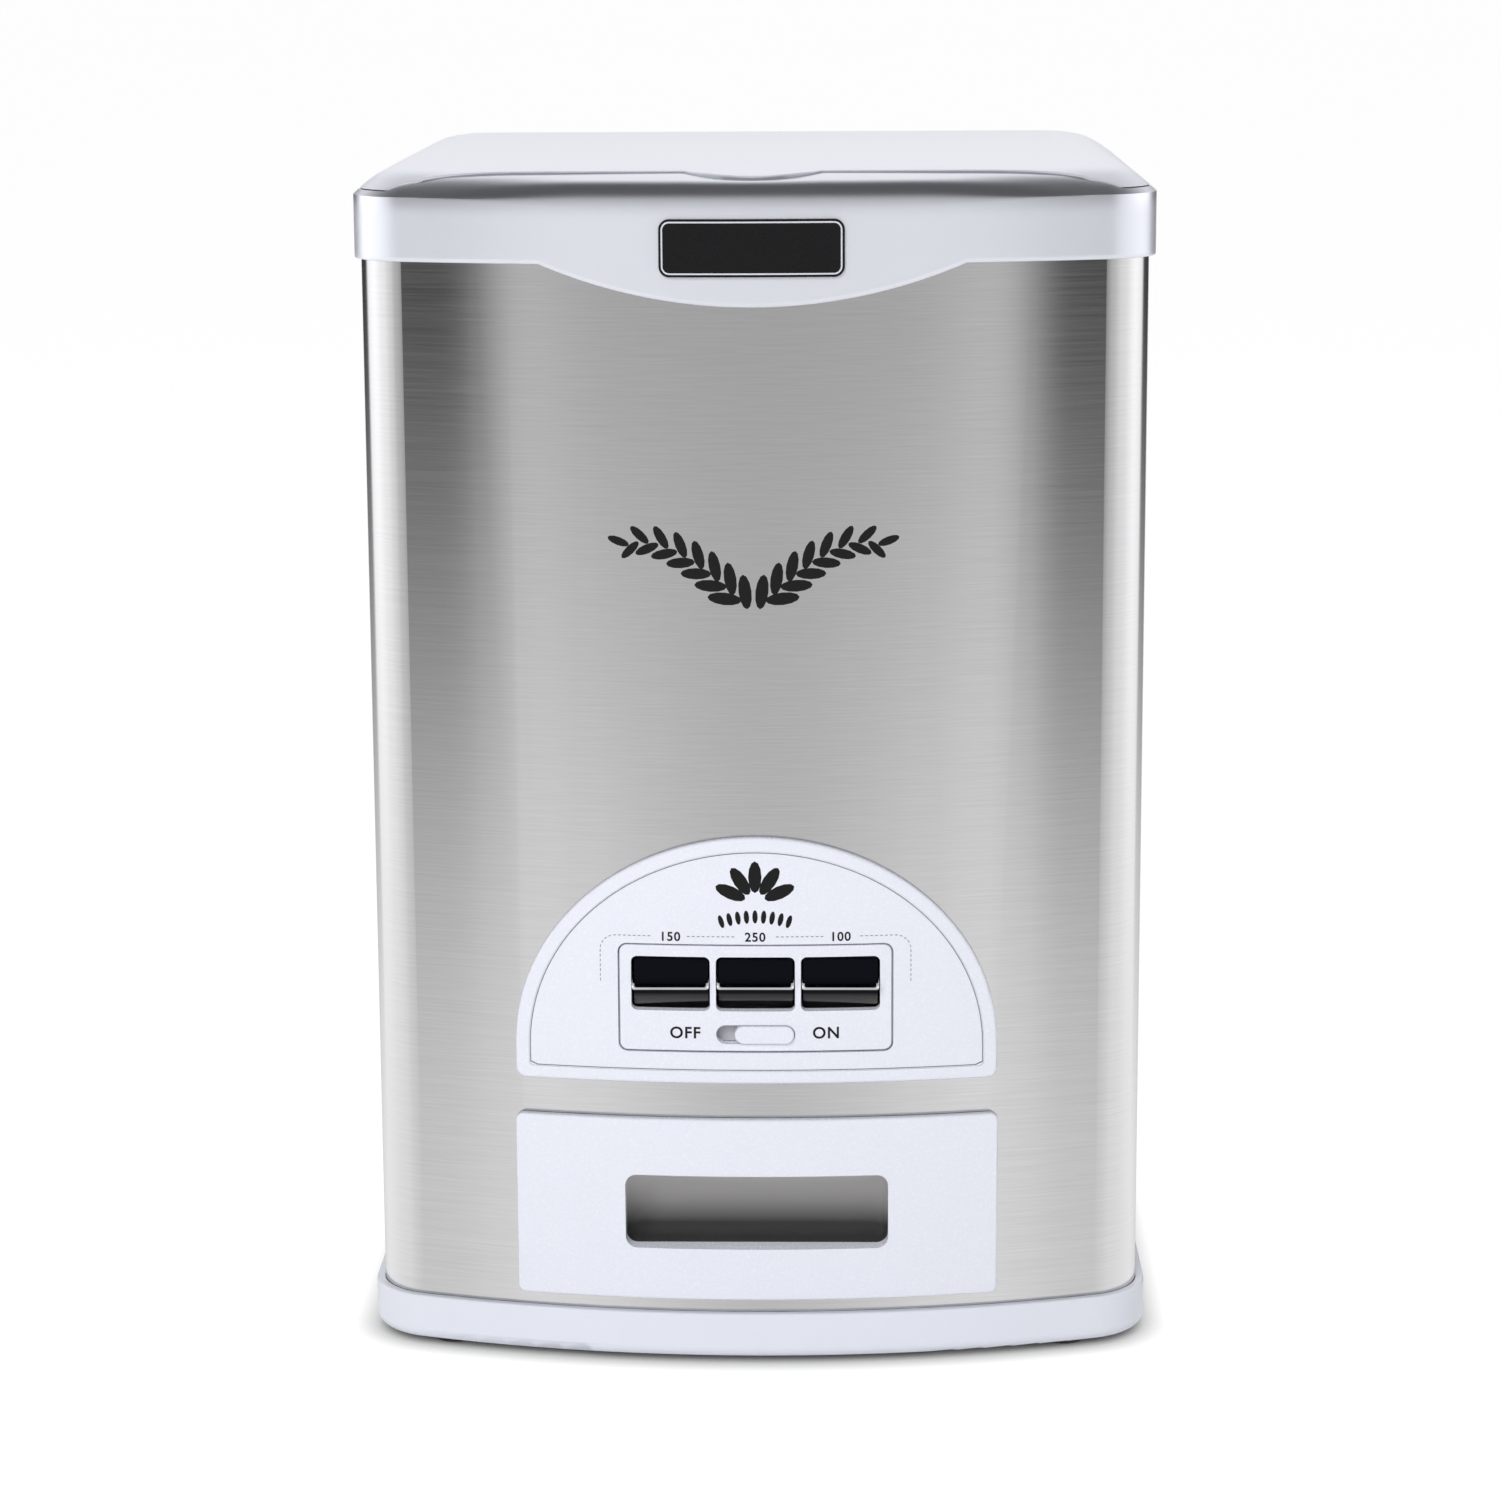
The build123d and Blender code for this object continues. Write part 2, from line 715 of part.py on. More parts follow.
# Dosing block: three chambers, their ports and the cheeks that carry the shaft
tail_rise = (chamber_front - shaft_y) * sin(radians(press_angle))
tail_slot_bottom = shaft_height - arm_below - tail_slot_gap
tail_slot_top = shaft_height + arm_above + tail_rise + tail_slot_gap
with BuildPart() as dosing_block:
    with BuildSketch(Plane.XY.offset(deck_top)):
        with Locations((block_mid, chamber_front - block_wall)):
            Rectangle(block_width, chamber_length + 2 * block_wall, align=(Align.CENTER, Align.MIN))
    extrude(amount=block_top - deck_top)
    with BuildSketch(Plane.XY.offset(deck_top)):
        with Locations((block_mid, casing_front + block_nose_setback)):
            Rectangle(block_width, chamber_front_setback - block_nose_setback, align=(Align.CENTER, Align.MIN))
    extrude(amount=block_wall)
    with BuildSketch(Plane.XY.offset(deck_top)):
        with Locations((block_mid, casing_front + cheek_nose_setback)):
            Rectangle(block_width, chamber_front_setback - cheek_nose_setback, align=(Align.CENTER, Align.MIN))
        for left, right, key in chambers.values():
            with Locations(((left + right) / 2, casing_front + cheek_nose_setback)):
                Rectangle(
                    right - left,
                    chamber_front_setback - cheek_nose_setback - block_wall,
                    align=(Align.CENTER, Align.MIN),
                    mode=Mode.SUBTRACT,
                )
    extrude(amount=cheek_top - deck_top)
    with BuildSketch(Plane.XY.offset(chamber_floor)):
        for left, right, key in chambers.values():
            with Locations(((left + right) / 2, chamber_front)):
                Rectangle(right - left, chamber_length, align=(Align.CENTER, Align.MIN))
    extrude(amount=chamber_height, mode=Mode.SUBTRACT)
    with BuildSketch(Plane.XY.offset(deck_top)):
        for left, right, key in chambers.values():
            with Locations(((left + right) / 2, valve_mid)):
                Rectangle(right - left - 2 * port_side_margin, port_length)
    extrude(amount=block_top, mode=Mode.SUBTRACT)
    with BuildSketch(Plane.XZ.offset(-chamber_front - overrun)):
        for left, right, key in chambers.values():
            with Locations(((left + right) / 2, tail_slot_bottom)):
                Rectangle(
                    tail_web + 2 * tail_slot_gap,
                    tail_slot_top - tail_slot_bottom,
                    align=(Align.CENTER, Align.MIN),
                )
    extrude(amount=2 * overrun, mode=Mode.SUBTRACT)
    for seat in block_screw_seats + hopper_screw_seats:
        with BuildSketch(Plane.XY.offset(deck_top if seat in block_screw_seats else chamber_roof)):
            with Locations((seat.origin.X, seat.origin.Y)):
                Rectangle(block_ear, block_ear_length)
        extrude(amount=block_wall)
    for seat in block_screw_seats:
        cut_hole(seat, screw_hole, block_wall)
    for seat in hopper_screw_seats:
        cut_hole(seat, screw_hole, overrun)
    with BuildSketch(Plane.YZ.offset(block_left)):
        with Locations((shaft_y, shaft_height)):
            Circle(shaft_radius + running_gap)
    extrude(amount=block_width, mode=Mode.SUBTRACT)
keep(dosing_block, "dosing_block")

# Screws that hold the block to the deck
with BuildPart() as block_screws:
    for seat in block_screw_seats:
        add_screw(seat, block_screw_length)
keep(block_screws, "block_screws")

# Shaft that the levers turn on
shaft_left = block_left - shaft_overhang
shaft_right = block_right + shaft_overhang
with BuildPart() as lever_shaft:
    with BuildSketch(Plane.YZ.offset(shaft_left)):
        with Locations((shaft_y, shaft_height)):
            Circle(shaft_radius)
    extrude(amount=shaft_right - shaft_left)
keep(lever_shaft, "lever_shaft")

# Clips at both ends of the shaft
with BuildPart() as shaft_clips:
    for side in (block_left - clip_gap - clip_thickness, block_right + clip_gap):
        with BuildSketch(Plane.YZ.offset(side)):
            with Locations((shaft_y, shaft_height)):
                Circle(clip_radius)
                Circle(shaft_radius + running_gap, mode=Mode.SUBTRACT)
        extrude(amount=clip_thickness)
keep(shaft_clips, "shaft_clips")

# Plane that a lever brings level when its key is pressed
pressed = Plane(
    (0, shaft_y, shaft_height),
    x_dir=(1, 0, 0),
    z_dir=(0, sin(radians(press_angle)), cos(radians(press_angle))),
)


def make_lever(left, right, key):
    """Dosing lever: hub, key arm, tail, lower valve plate and upper valve plate."""
    middle = (left + right) / 2
    hub_length = right - left - 2 * lever_side_gap
    plate_across = right - left - 2 * valve_side_gap
    plate_along = port_length + 2 * valve_overlap
    arm_bottom = shaft_height - arm_below
    arm_height = arm_below + arm_above
    with BuildPart() as lever:
        with BuildSketch(Plane.YZ.offset(middle - hub_length / 2)):
            with Locations((shaft_y, shaft_height)):
                Circle(hub_radius)
        extrude(amount=hub_length)
        with BuildSketch(Plane.XY.offset(arm_bottom)):
            with Locations((key, shaft_y)):
                Rectangle(arm_width, arm_front_reach, align=(Align.CENTER, Align.MAX))
            with Locations((middle, shaft_y)):
                Rectangle(tail_web, valve_mid - shaft_y, align=(Align.CENTER, Align.MIN))
        extrude(amount=arm_height)
        with BuildSketch(Plane.XY.offset(chamber_floor + valve_gap)):
            with Locations((middle, valve_mid)):
                Rectangle(plate_across, plate_along)
        extrude(amount=valve_plate)
        with BuildSketch(Plane.XY.offset(chamber_floor + valve_gap)):
            with Locations((middle, valve_mid)):
                Rectangle(tail_web, stem_length, align=(Align.CENTER, Align.MAX))
        extrude(amount=arm_bottom - chamber_floor)
        with BuildSketch(pressed.offset(chamber_roof - valve_gap - valve_plate - shaft_height)):
            with Locations((middle, valve_mid - shaft_y)):
                Rectangle(plate_across, plate_along)
        extrude(amount=valve_plate)
        with BuildSketch(Plane.YZ.offset(middle - hub_length / 2)):
            with Locations((shaft_y, shaft_height)):
                Circle(shaft_radius + running_gap)
        extrude(amount=hub_length, mode=Mode.SUBTRACT)
    return lever


def make_key(key):
    """Key cap: curved apron behind the window, dished finger lip, clip for the lever arm."""
    width = window_width - 2 * key_side_gap
    side = key - width / 2
    lip_front = casing_front - lip_reach
    low = radians(apron_low_angle)
    high = radians(apron_high_angle)

    def on_arc(radius, angle):
        return (shaft_y - radius * cos(angle), shaft_height + radius * sin(angle))

    inner = apron_radius - apron_wall
    with BuildPart() as cap:
        with BuildSketch(Plane.YZ.offset(side)):
            with BuildLine():
                ThreePointArc(
                    on_arc(apron_radius, -low), on_arc(apron_radius, 0), on_arc(apron_radius, high)
                )
                Line(on_arc(apron_radius, high), on_arc(inner, high))
                ThreePointArc(on_arc(inner, high), on_arc(inner, 0), on_arc(inner, -low))
                Line(on_arc(inner, -low), on_arc(apron_radius, -low))
            make_face()
            with Locations((lip_front, lip_bottom)):
                Rectangle(
                    shaft_y - apron_radius + apron_wall / 2 - lip_front,
                    lip_thickness,
                    align=(Align.MIN, Align.MIN),
                )
        extrude(amount=width)
        fillet(cap.faces().sort_by(Axis.Y)[0].edges(), lip_edge)
        with BuildSketch(Plane.XY.offset(lip_bottom + lip_thickness - lip_dish)):
            with Locations((key, lip_front + lip_rim)):
                Rectangle(
                    width - 2 * lip_rim,
                    shaft_y - apron_radius - lip_front - lip_rim,
                    align=(Align.CENTER, Align.MIN),
                )
        extrude(amount=lip_dish, mode=Mode.SUBTRACT)
        with BuildSketch(Plane.XY.offset(shaft_height - arm_below)):
            for way in (-1, 1):
                with Locations((key + way * (arm_width / 2 + key_clip_gap + key_clip_wall / 2),
                                shaft_y - inner - apron_wall / 2)):
                    Rectangle(
                        key_clip_wall,
                        casing_front + key_clip_setback - shaft_y + inner + apron_wall / 2,
                        align=(Align.CENTER, Align.MIN),
                    )
        extrude(amount=arm_below + arm_above)
    return cap


def make_spring(key):
    """Return spring under the key arm, standing on the floor of the block."""
    height = shaft_height - arm_below - chamber_floor
    with BuildPart() as spring:
        with BuildLine(Plane.XY.offset(chamber_floor + spring_wire / 2 + running_gap)):
            coil = Helix(
                pitch=(height - spring_wire - 2 * running_gap) / spring_turns,
                height=height - spring_wire - 2 * running_gap,
                radius=spring_radius - spring_wire / 2,
                center=(key, casing_front + spring_setback, 0),
            )
        with BuildSketch(Plane(coil @ 0, z_dir=coil % 0)):
            Circle(spring_wire / 2)
        sweep(path=coil, is_frenet=True)
    return spring


for dose, (left, right, key) in chambers.items():
    keep(make_lever(left, right, key), f"dosing_lever_{dose}")
    keep(make_key(key), f"key_cap_{dose}")
    keep(make_spring(key), f"key_spring_{dose}")

# Control fascia: bowed D-shaped moulding with a raised border
fascia_plate = front_patch(arch(0, fascia_corner), fascia_proud, fascia_gap)
fascia_recess = front_patch(arch(border, label_corner), fascia_proud + overrun, fascia_proud - label_recess)
bezel_hole = rounded(
    bezel_width + 2 * bezel_gap, bezel_height + 2 * bezel_gap, bezel_corner + bezel_gap, bezel_mid
)
with BuildPart() as fascia:
    add(fascia_plate)
    border_loop = fascia.faces().sort_by(Axis.Y)[0].outer_wire().edges()
    fillet(border_loop, fascia_edge)
    add(fascia_recess, mode=Mode.SUBTRACT)
    with BuildSketch(Plane.XZ):
        add(bezel_hole)
    extrude(amount=casing_depth, mode=Mode.SUBTRACT)
    for across, height in fascia_places:
        with BuildSketch(front_plane(across, height, (fascia_gap + fascia_proud) / 2)):
            Circle(fascia_boss_radius)
        extrude(amount=-(fascia_gap + fascia_proud) / 2 - sheet)
        cut_hole(front_plane(across, height, -sheet + fascia_screw_length), screw_hole, overrun)
keep(fascia, "fascia")

# Printed face sheet laid inside the border
face_plate = front_patch(
    arch(border + label_gap, label_corner),
    fascia_proud - label_recess + label_gap + label_sheet,
    fascia_proud - label_recess + label_gap,
)
with BuildPart() as face_sheet:
    add(face_plate)
    with BuildSketch(Plane.XZ):
        add(bezel_hole)
    extrude(amount=casing_depth, mode=Mode.SUBTRACT)
keep(face_sheet, "face_sheet")

# Screws that hold the fascia from inside the casing
with BuildPart() as fascia_screws:
    for across, height in fascia_places:
        seat = front_plane(across, height, -sheet - running_gap)
        add_screw(Plane(seat.origin, x_dir=seat.x_dir, z_dir=-seat.z_dir), fascia_screw_length)
keep(fascia_screws, "fascia_screws")

# Key bezel: windows, lock slot and the rails behind it
bezel_plate = front_patch(
    rounded(bezel_width, bezel_height, bezel_corner, bezel_mid), bezel_proud, -flange_inner
)
bezel_flange = front_patch(
    rounded(bezel_width + 2 * flange_margin, bezel_height + 2 * flange_margin, bezel_corner, bezel_mid),
    flange_outer, -flange_inner,
)
with BuildPart() as key_bezel:
    add(bezel_plate)
    bezel_loop = key_bezel.faces().sort_by(Axis.Y)[0].outer_wire().edges()
    fillet(bezel_loop, bezel_edge)
    add(bezel_flange)
    with BuildSketch(Plane.XZ.offset(-casing_front)):
        with Locations((0, slot_mid_height + bar_height / 2 + slide_gap)):
            Rectangle(rail_length, rail_thickness, align=(Align.CENTER, Align.MIN))
        with Locations((0, slot_mid_height - bar_height / 2 - slide_gap)):
            Rectangle(rail_length, rail_thickness, align=(Align.CENTER, Align.MAX))
    extrude(amount=-rail_setback)
    with BuildSketch(Plane.XZ):
        for left, right, key in chambers.values():
            with Locations((key, window_mid)):
                RectangleRounded(window_width, window_height, window_corner)
        with Locations((0, slot_mid_height)):
            SlotOverall(slot_length, slot_height)
    extrude(amount=casing_depth, mode=Mode.SUBTRACT)
keep(key_bezel, "key_bezel")

# Lock bar sliding between the rails
knob_mid = (slot_length - knob_length) / 2 - slide_gap
with BuildPart() as lock_bar:
    with BuildSketch(Plane.XZ.offset(-casing_front - bar_setback)):
        with Locations((knob_mid, slot_mid_height)):
            Rectangle(bar_length, bar_height)
    extrude(amount=-bar_thickness)
    with BuildSketch(Plane.XZ.offset(-casing_front - bar_setback)):
        for left, right, key in chambers.values():
            with Locations((key + knob_mid, slot_mid_height - bar_height / 2)):
                Rectangle(tongue_width, tongue_height, align=(Align.MAX, Align.MIN))
    extrude(amount=bar_setback - tongue_setback)
keep(lock_bar, "lock_bar")

# Lock knob standing through the slot
with BuildPart() as lock_knob:
    with BuildSketch(Plane.XZ.offset(-casing_front - bar_setback)):
        with Locations((knob_mid, slot_mid_height)):
            SlotOverall(knob_length, slot_height - 2 * slide_gap)
    extrude(amount=bar_setback + knob_proud)
    fillet(lock_knob.edges().group_by(Axis.Y)[0], knob_edge)
keep(lock_knob, "lock_knob")

# Hopper: funnel from the casing walls down to the ports of the block
throat_width = block_width - 2 * block_wall - 2 * throat_margin
throat_length = port_length + 2 * throat_margin
funnel_bottom = block_top


def funnel(grow, skin):
    """Slanted funnel body, grown outwards by the wall and trimmed to a plan."""
    with BuildPart(mode=Mode.PRIVATE) as body:
        with BuildSketch(Plane.XY.offset(funnel_bottom)):
            with Locations((block_mid, valve_mid)):
                Rectangle(throat_width + 2 * grow, throat_length + 2 * grow)
        with BuildSketch(Plane.XY.offset(hopper_slope_top)):
            with Locations((0, (casing_front + casing_back) / 2)):
                Rectangle(casing_width + 2 * grow, casing_depth + 2 * grow)
        loft()
        with BuildSketch(Plane.XY.offset(funnel_bottom)):
            add(plan(skin))
        extrude(amount=hopper_slope_top, mode=Mode.INTERSECT)
    return body.part


outer_funnel = funnel(hopper_wall, -locating_gap)
inner_funnel = funnel(0, -locating_gap - hopper_wall)
with BuildPart() as hopper:
    add(outer_funnel)
    with BuildSketch(Plane.XY.offset(hopper_slope_top)):
        add(plan(-locating_gap))
    extrude(amount=hopper_band_top - hopper_slope_top)
    with BuildSketch(Plane.XY.offset(funnel_bottom)):
        with Locations((block_mid, casing_front + (block_ear_front_setback + block_ear_back_setback) / 2)):
            Rectangle(
                block_width + 2 * block_ear,
                block_ear_back_setback - block_ear_front_setback + block_ear_length,
            )
    extrude(amount=hopper_flange)
    add(inner_funnel, mode=Mode.SUBTRACT)
    with BuildSketch(Plane.XY.offset(hopper_slope_top)):
        add(plan(-locating_gap - hopper_wall))
    extrude(amount=hopper_band_top, mode=Mode.SUBTRACT)
    for seat in hopper_screw_seats:
        cut_hole(seat, screw_hole, overrun)
keep(hopper, "hopper")

# Screws that hold the hopper to the block
with BuildPart() as hopper_screws:
    for seat in hopper_screw_seats:
        add_screw(seat, hopper_screw_length)
keep(hopper_screws, "hopper_screws")

def dome(drop):
    """Shoulder of the lid, stacked from plans that draw in as they rise, lowered by drop."""
    rise = lid_apex - rim_height
    with BuildPart(mode=Mode.PRIVATE) as body:
        for share in shoulder_shares:
            height = rim_height + rise * (1 - (1 - share) ** shoulder_bend_share) - drop
            with BuildSketch(Plane.XY.offset(height)):
                add(plan(lid_proud - share * shoulder_width))
        loft(ruled=True)
        extrude(body.faces().sort_by(Axis.Z)[-1], amount=rise)
    return body.part


lid_dome = dome(0)

# Top collar: skirt, front strip with the lobe, filling mouth and hinge knuckles
flange_bottom = part_line - collar_flange
lobe_half = lobe_width / 2
collar_knuckle_shift = flap_knuckle / 2 + knuckle_gap + collar_knuckle / 2
with BuildPart() as top_collar:
    with BuildSketch(Plane.XY.offset(lobe_bottom)):
        add(plan(lid_proud))
    extrude(amount=rim_height - lobe_bottom)
    add(lid_dome)
    with Locations((0, crown_mid, lid_apex - crown_radius)):
        Cylinder(crown_radius, 2 * casing_width, rotation=(0, 90, 0), mode=Mode.INTERSECT)
    with BuildSketch(Plane.XY.offset(part_line)):
        with Locations((0, lid_split)):
            Rectangle(2 * casing_width, 2 * casing_depth, align=(Align.CENTER, Align.MIN))
    extrude(amount=lid_apex, mode=Mode.SUBTRACT)
    with BuildSketch(Plane.XZ):
        with Locations((0, skirt_bottom)):
            Rectangle(2 * casing_width, 2 * overrun, align=(Align.CENTER, Align.MAX))
        with BuildLine():
            ThreePointArc((-lobe_half, skirt_bottom), (0, lobe_bottom), (lobe_half, skirt_bottom))
            Line((lobe_half, skirt_bottom), (-lobe_half, skirt_bottom))
        make_face(mode=Mode.SUBTRACT)
    extrude(amount=casing_depth, both=True, mode=Mode.SUBTRACT)
    with BuildSketch(Plane.XY.offset(skirt_bottom)):
        Rectangle(2 * casing_width, casing_depth, align=(Align.CENTER, Align.MIN))
    extrude(amount=-overrun, mode=Mode.SUBTRACT)
    with BuildSketch(Plane.XY.offset(lobe_bottom)):
        add(plan(seat_gap))
    extrude(amount=flange_bottom - lobe_bottom, mode=Mode.SUBTRACT)
    with BuildSketch(Plane.XY.offset(flange_bottom)):
        add(plan(-locating_gap))
        add(plan(-locating_gap - locating_wall), mode=Mode.SUBTRACT)
    extrude(amount=-collar_locating_depth)
    with BuildSketch(Plane.XY.offset(flange_bottom)):
        with Locations((0, mouth_mid)):
            RectangleRounded(
                mouth_width + 2 * mouth_lip_wall,
                mouth_depth + 2 * mouth_lip_wall,
                mouth_radius + mouth_lip_wall,
            )
    extrude(amount=collar_flange + mouth_lip)
    with BuildSketch(Plane.XY.offset(flange_bottom)):
        with Locations((0, mouth_mid)):
            RectangleRounded(mouth_width, mouth_depth, mouth_radius)
    extrude(amount=lid_apex, mode=Mode.SUBTRACT)
    with BuildSketch(Plane.XY.offset(part_line + tab_recess_floor)):
        with Locations((0, tab_centre)):
            Circle(tab_radius + tab_gap)
        with Locations((0, lid_split)):
            Rectangle(2 * casing_width, 2 * casing_depth, align=(Align.CENTER, Align.MIN), mode=Mode.SUBTRACT)
    extrude(amount=lid_apex, mode=Mode.SUBTRACT)
    for side in (-1, 1):
        for way in (-1, 1):
            knuckle_x = side * hinge_spread / 2 + way * collar_knuckle_shift
            with BuildSketch(Plane.YZ.offset(knuckle_x - collar_knuckle / 2)):
                with Locations((hinge_y, hinge_z)):
                    Circle(barrel_radius)
                    Rectangle(2 * barrel_radius, hinge_z - flange_bottom, align=(Align.CENTER, Align.MAX))
            extrude(amount=collar_knuckle)
            with BuildSketch(Plane.YZ.offset(knuckle_x - collar_knuckle / 2)):
                with Locations((hinge_y, hinge_z)):
                    Circle(pin_radius + running_gap)
            extrude(amount=collar_knuckle, mode=Mode.SUBTRACT)
    for seat in collar_screw_seats:
        cut_hole(seat, screw_hole, collar_screw_length)
keep(top_collar, "top_collar")

# Screws that hold the collar to the casing from inside
with BuildPart() as collar_screws:
    for seat in collar_screw_seats:
        add_screw(seat, collar_screw_length - running_gap)
keep(collar_screws, "collar_screws")

# Lid flap: crowned cover with rounded sides, finger tab and hinge knuckles
flap_front = lid_split + split_gap
flap_bottom = part_line + flap_gap
flap_half = casing_width / 2 + lid_proud
with BuildPart() as lid_flap:
    add(lid_dome)
    with BuildSketch(Plane.XY.offset(flap_bottom)) as flap_plan:
        with Locations((0, flap_front)):
            Rectangle(2 * flap_half, flap_back - flap_front, align=(Align.CENTER, Align.MIN))
        fillet(flap_plan.vertices().group_by(Axis.Y)[-1], flap_corner_radius)
    extrude(amount=lid_apex, mode=Mode.INTERSECT)
    with Locations((0, crown_mid, lid_apex - crown_radius)):
        Cylinder(crown_radius, 2 * casing_width, rotation=(0, 90, 0), mode=Mode.INTERSECT)
    with BuildSketch(Plane.XY.offset(flap_bottom)) as flap_hollow:
        with Locations((0, flap_front + flap_wall)):
            Rectangle(
                2 * (flap_half - 2 * flap_wall),
                flap_back - flap_front - 3 * flap_wall,
                align=(Align.CENTER, Align.MIN),
            )
        fillet(flap_hollow.vertices().group_by(Axis.Y)[-1], flap_corner_radius - 2 * flap_wall)
    hollow = extrude(amount=lid_apex - flap_bottom, mode=Mode.PRIVATE)
    with Locations((0, crown_mid, lid_apex - crown_radius)):
        under_crown = Cylinder(
            crown_radius - flap_wall, 2 * casing_width, rotation=(0, 90, 0), mode=Mode.PRIVATE
        )
    add(hollow & under_crown & dome(hollow_drop), mode=Mode.SUBTRACT)
    with BuildSketch(Plane.XY.offset(lid_apex)):
        with Locations((0, tab_centre)):
            Circle(tab_radius)
        with Locations((0, flap_front + flap_wall)):
            Rectangle(2 * casing_width, 2 * casing_depth, align=(Align.CENTER, Align.MIN), mode=Mode.SUBTRACT)
    tab_block = extrude(amount=-crown_rise - 2 * tab_thickness, mode=Mode.PRIVATE)
    with Locations((0, crown_mid, lid_apex - crown_radius)):
        top_skin = Cylinder(crown_radius, 2 * casing_width, rotation=(0, 90, 0), mode=Mode.PRIVATE)
        tab_under = Cylinder(
            crown_radius - tab_thickness, 2 * casing_width, rotation=(0, 90, 0), mode=Mode.PRIVATE
        )
    add((tab_block & top_skin) - tab_under)
    for side in (-1, 1):
        knuckle_x = side * hinge_spread / 2 - flap_knuckle / 2
        with BuildSketch(Plane.YZ.offset(knuckle_x)):
            with Locations((hinge_y, hinge_z)):
                Circle(barrel_radius)
                Rectangle(hinge_setback + knuckle_root, knuckle_web, align=(Align.MAX, Align.CENTER))
        extrude(amount=flap_knuckle)
        with BuildSketch(Plane.YZ.offset(knuckle_x)):
            with Locations((hinge_y, hinge_z)):
                Circle(pin_radius + running_gap)
        extrude(amount=flap_knuckle, mode=Mode.SUBTRACT)
keep(lid_flap, "lid_flap")

# Pins of the two hinges
pin_length = flap_knuckle + 2 * knuckle_gap + 2 * collar_knuckle
with BuildPart() as hinge_pins:
    for side in (-1, 1):
        with BuildSketch(Plane.YZ.offset(side * hinge_spread / 2 - pin_length / 2)):
            with Locations((hinge_y, hinge_z)):
                Circle(pin_radius)
        extrude(amount=pin_length)
keep(hinge_pins, "hinge_pins")

# Seal under the flap, above the lip of the filling mouth
seal_inset = (seal_width - mouth_lip_wall) / 2
with BuildPart() as lid_seal:
    with BuildSketch(Plane.XY.offset(part_line + mouth_lip + slide_gap)):
        with Locations((0, mouth_mid)):
            RectangleRounded(
                mouth_width + 2 * (mouth_lip_wall + seal_inset),
                mouth_depth + 2 * (mouth_lip_wall + seal_inset),
                mouth_radius + mouth_lip_wall + seal_inset,
            )
            RectangleRounded(
                mouth_width - 2 * seal_inset,
                mouth_depth - 2 * seal_inset,
                mouth_radius - seal_inset,
                mode=Mode.SUBTRACT,
            )
    extrude(amount=lid_apex - part_line)
    with Locations((0, crown_mid, lid_apex - crown_radius)):
        Cylinder(
            crown_radius - flap_wall - running_gap,
            2 * casing_width,
            rotation=(0, 90, 0),
            mode=Mode.INTERSECT,
        )
keep(lid_seal, "lid_seal")

# Name plate on the lobe, left bare
plate_shape = front_patch(
    rounded(plate_width, plate_height, plate_corner, plate_mid_height),
    lid_proud + plate_gap + plate_thickness, lid_proud + plate_gap,
)
with BuildPart() as name_plate:
    add(plate_shape)
keep(name_plate, "name_plate")
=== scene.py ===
from math import asin, atan2, cos, degrees, hypot, pi, radians, sin, sqrt

import bmesh
import bpy
from mathutils import Matrix, Vector


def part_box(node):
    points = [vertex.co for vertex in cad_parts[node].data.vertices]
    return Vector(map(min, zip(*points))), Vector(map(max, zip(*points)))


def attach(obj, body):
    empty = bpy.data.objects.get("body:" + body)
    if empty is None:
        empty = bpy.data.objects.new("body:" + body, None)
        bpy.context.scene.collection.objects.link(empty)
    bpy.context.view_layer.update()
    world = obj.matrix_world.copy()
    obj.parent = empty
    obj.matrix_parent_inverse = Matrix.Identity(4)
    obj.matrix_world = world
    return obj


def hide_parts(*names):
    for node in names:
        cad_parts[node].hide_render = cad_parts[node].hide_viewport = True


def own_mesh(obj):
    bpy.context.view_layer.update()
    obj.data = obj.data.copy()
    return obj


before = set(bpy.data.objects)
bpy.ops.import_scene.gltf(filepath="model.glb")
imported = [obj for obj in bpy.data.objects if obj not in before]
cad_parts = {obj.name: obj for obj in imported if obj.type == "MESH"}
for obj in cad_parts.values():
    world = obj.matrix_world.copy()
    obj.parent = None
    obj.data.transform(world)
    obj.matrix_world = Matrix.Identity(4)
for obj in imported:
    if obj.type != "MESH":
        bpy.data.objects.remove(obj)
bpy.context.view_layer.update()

# Rubber feet: four moulded discs pressed into shallow recesses under the base.
# Soft dark rubber with a dull, slightly dusty skin.
RUBBER_DARK = (0.016, 0.016, 0.017, 1)
RUBBER_WORN = (0.04, 0.039, 0.038, 1)
NOISE_LOW = 0.3
NOISE_HIGH = 0.7


def step(tree, kind, inputs=(), **traits):
    """Add a node to a tree with its traits, then link or set its inputs."""
    made = tree.nodes.new(kind)
    for trait, value in traits.items():
        setattr(made, trait, value)
    for name, source in inputs:
        if isinstance(source, bpy.types.Node):
            source = source.outputs[0]
        if isinstance(source, bpy.types.NodeSocket):
            tree.links.new(source, made.inputs[name])
        else:
            made.inputs[name].default_value = source
    return made


def geo(tree, kind, inputs=(), **traits):
    """Step of the Geometry Nodes kind."""
    return step(tree, "GeometryNode" + kind, inputs, **traits)


def shader(tree, kind, inputs=(), **traits):
    """Step of the shading kind, which Geometry Nodes share for their sums."""
    return step(tree, "ShaderNode" + kind, inputs, **traits)


def ranged(tree, value, low=0.0, high=1.0, bottom=0.0, top=1.0, **traits):
    """Value carried from one range into another."""
    return shader(tree, "MapRange", [
        ("Value", value), ("From Min", low), ("From Max", high),
        ("To Min", bottom), ("To Max", top)], **traits)


def surface(material):
    """Inputs of a material's surface shader."""
    return material.node_tree.nodes["Principled BSDF"].inputs


def finish(name, metallic=0.0):
    """New material, plastic or metal."""
    material = bpy.data.materials.new(name)
    material.use_nodes = True
    surface(material)["Metallic"].default_value = metallic
    return material


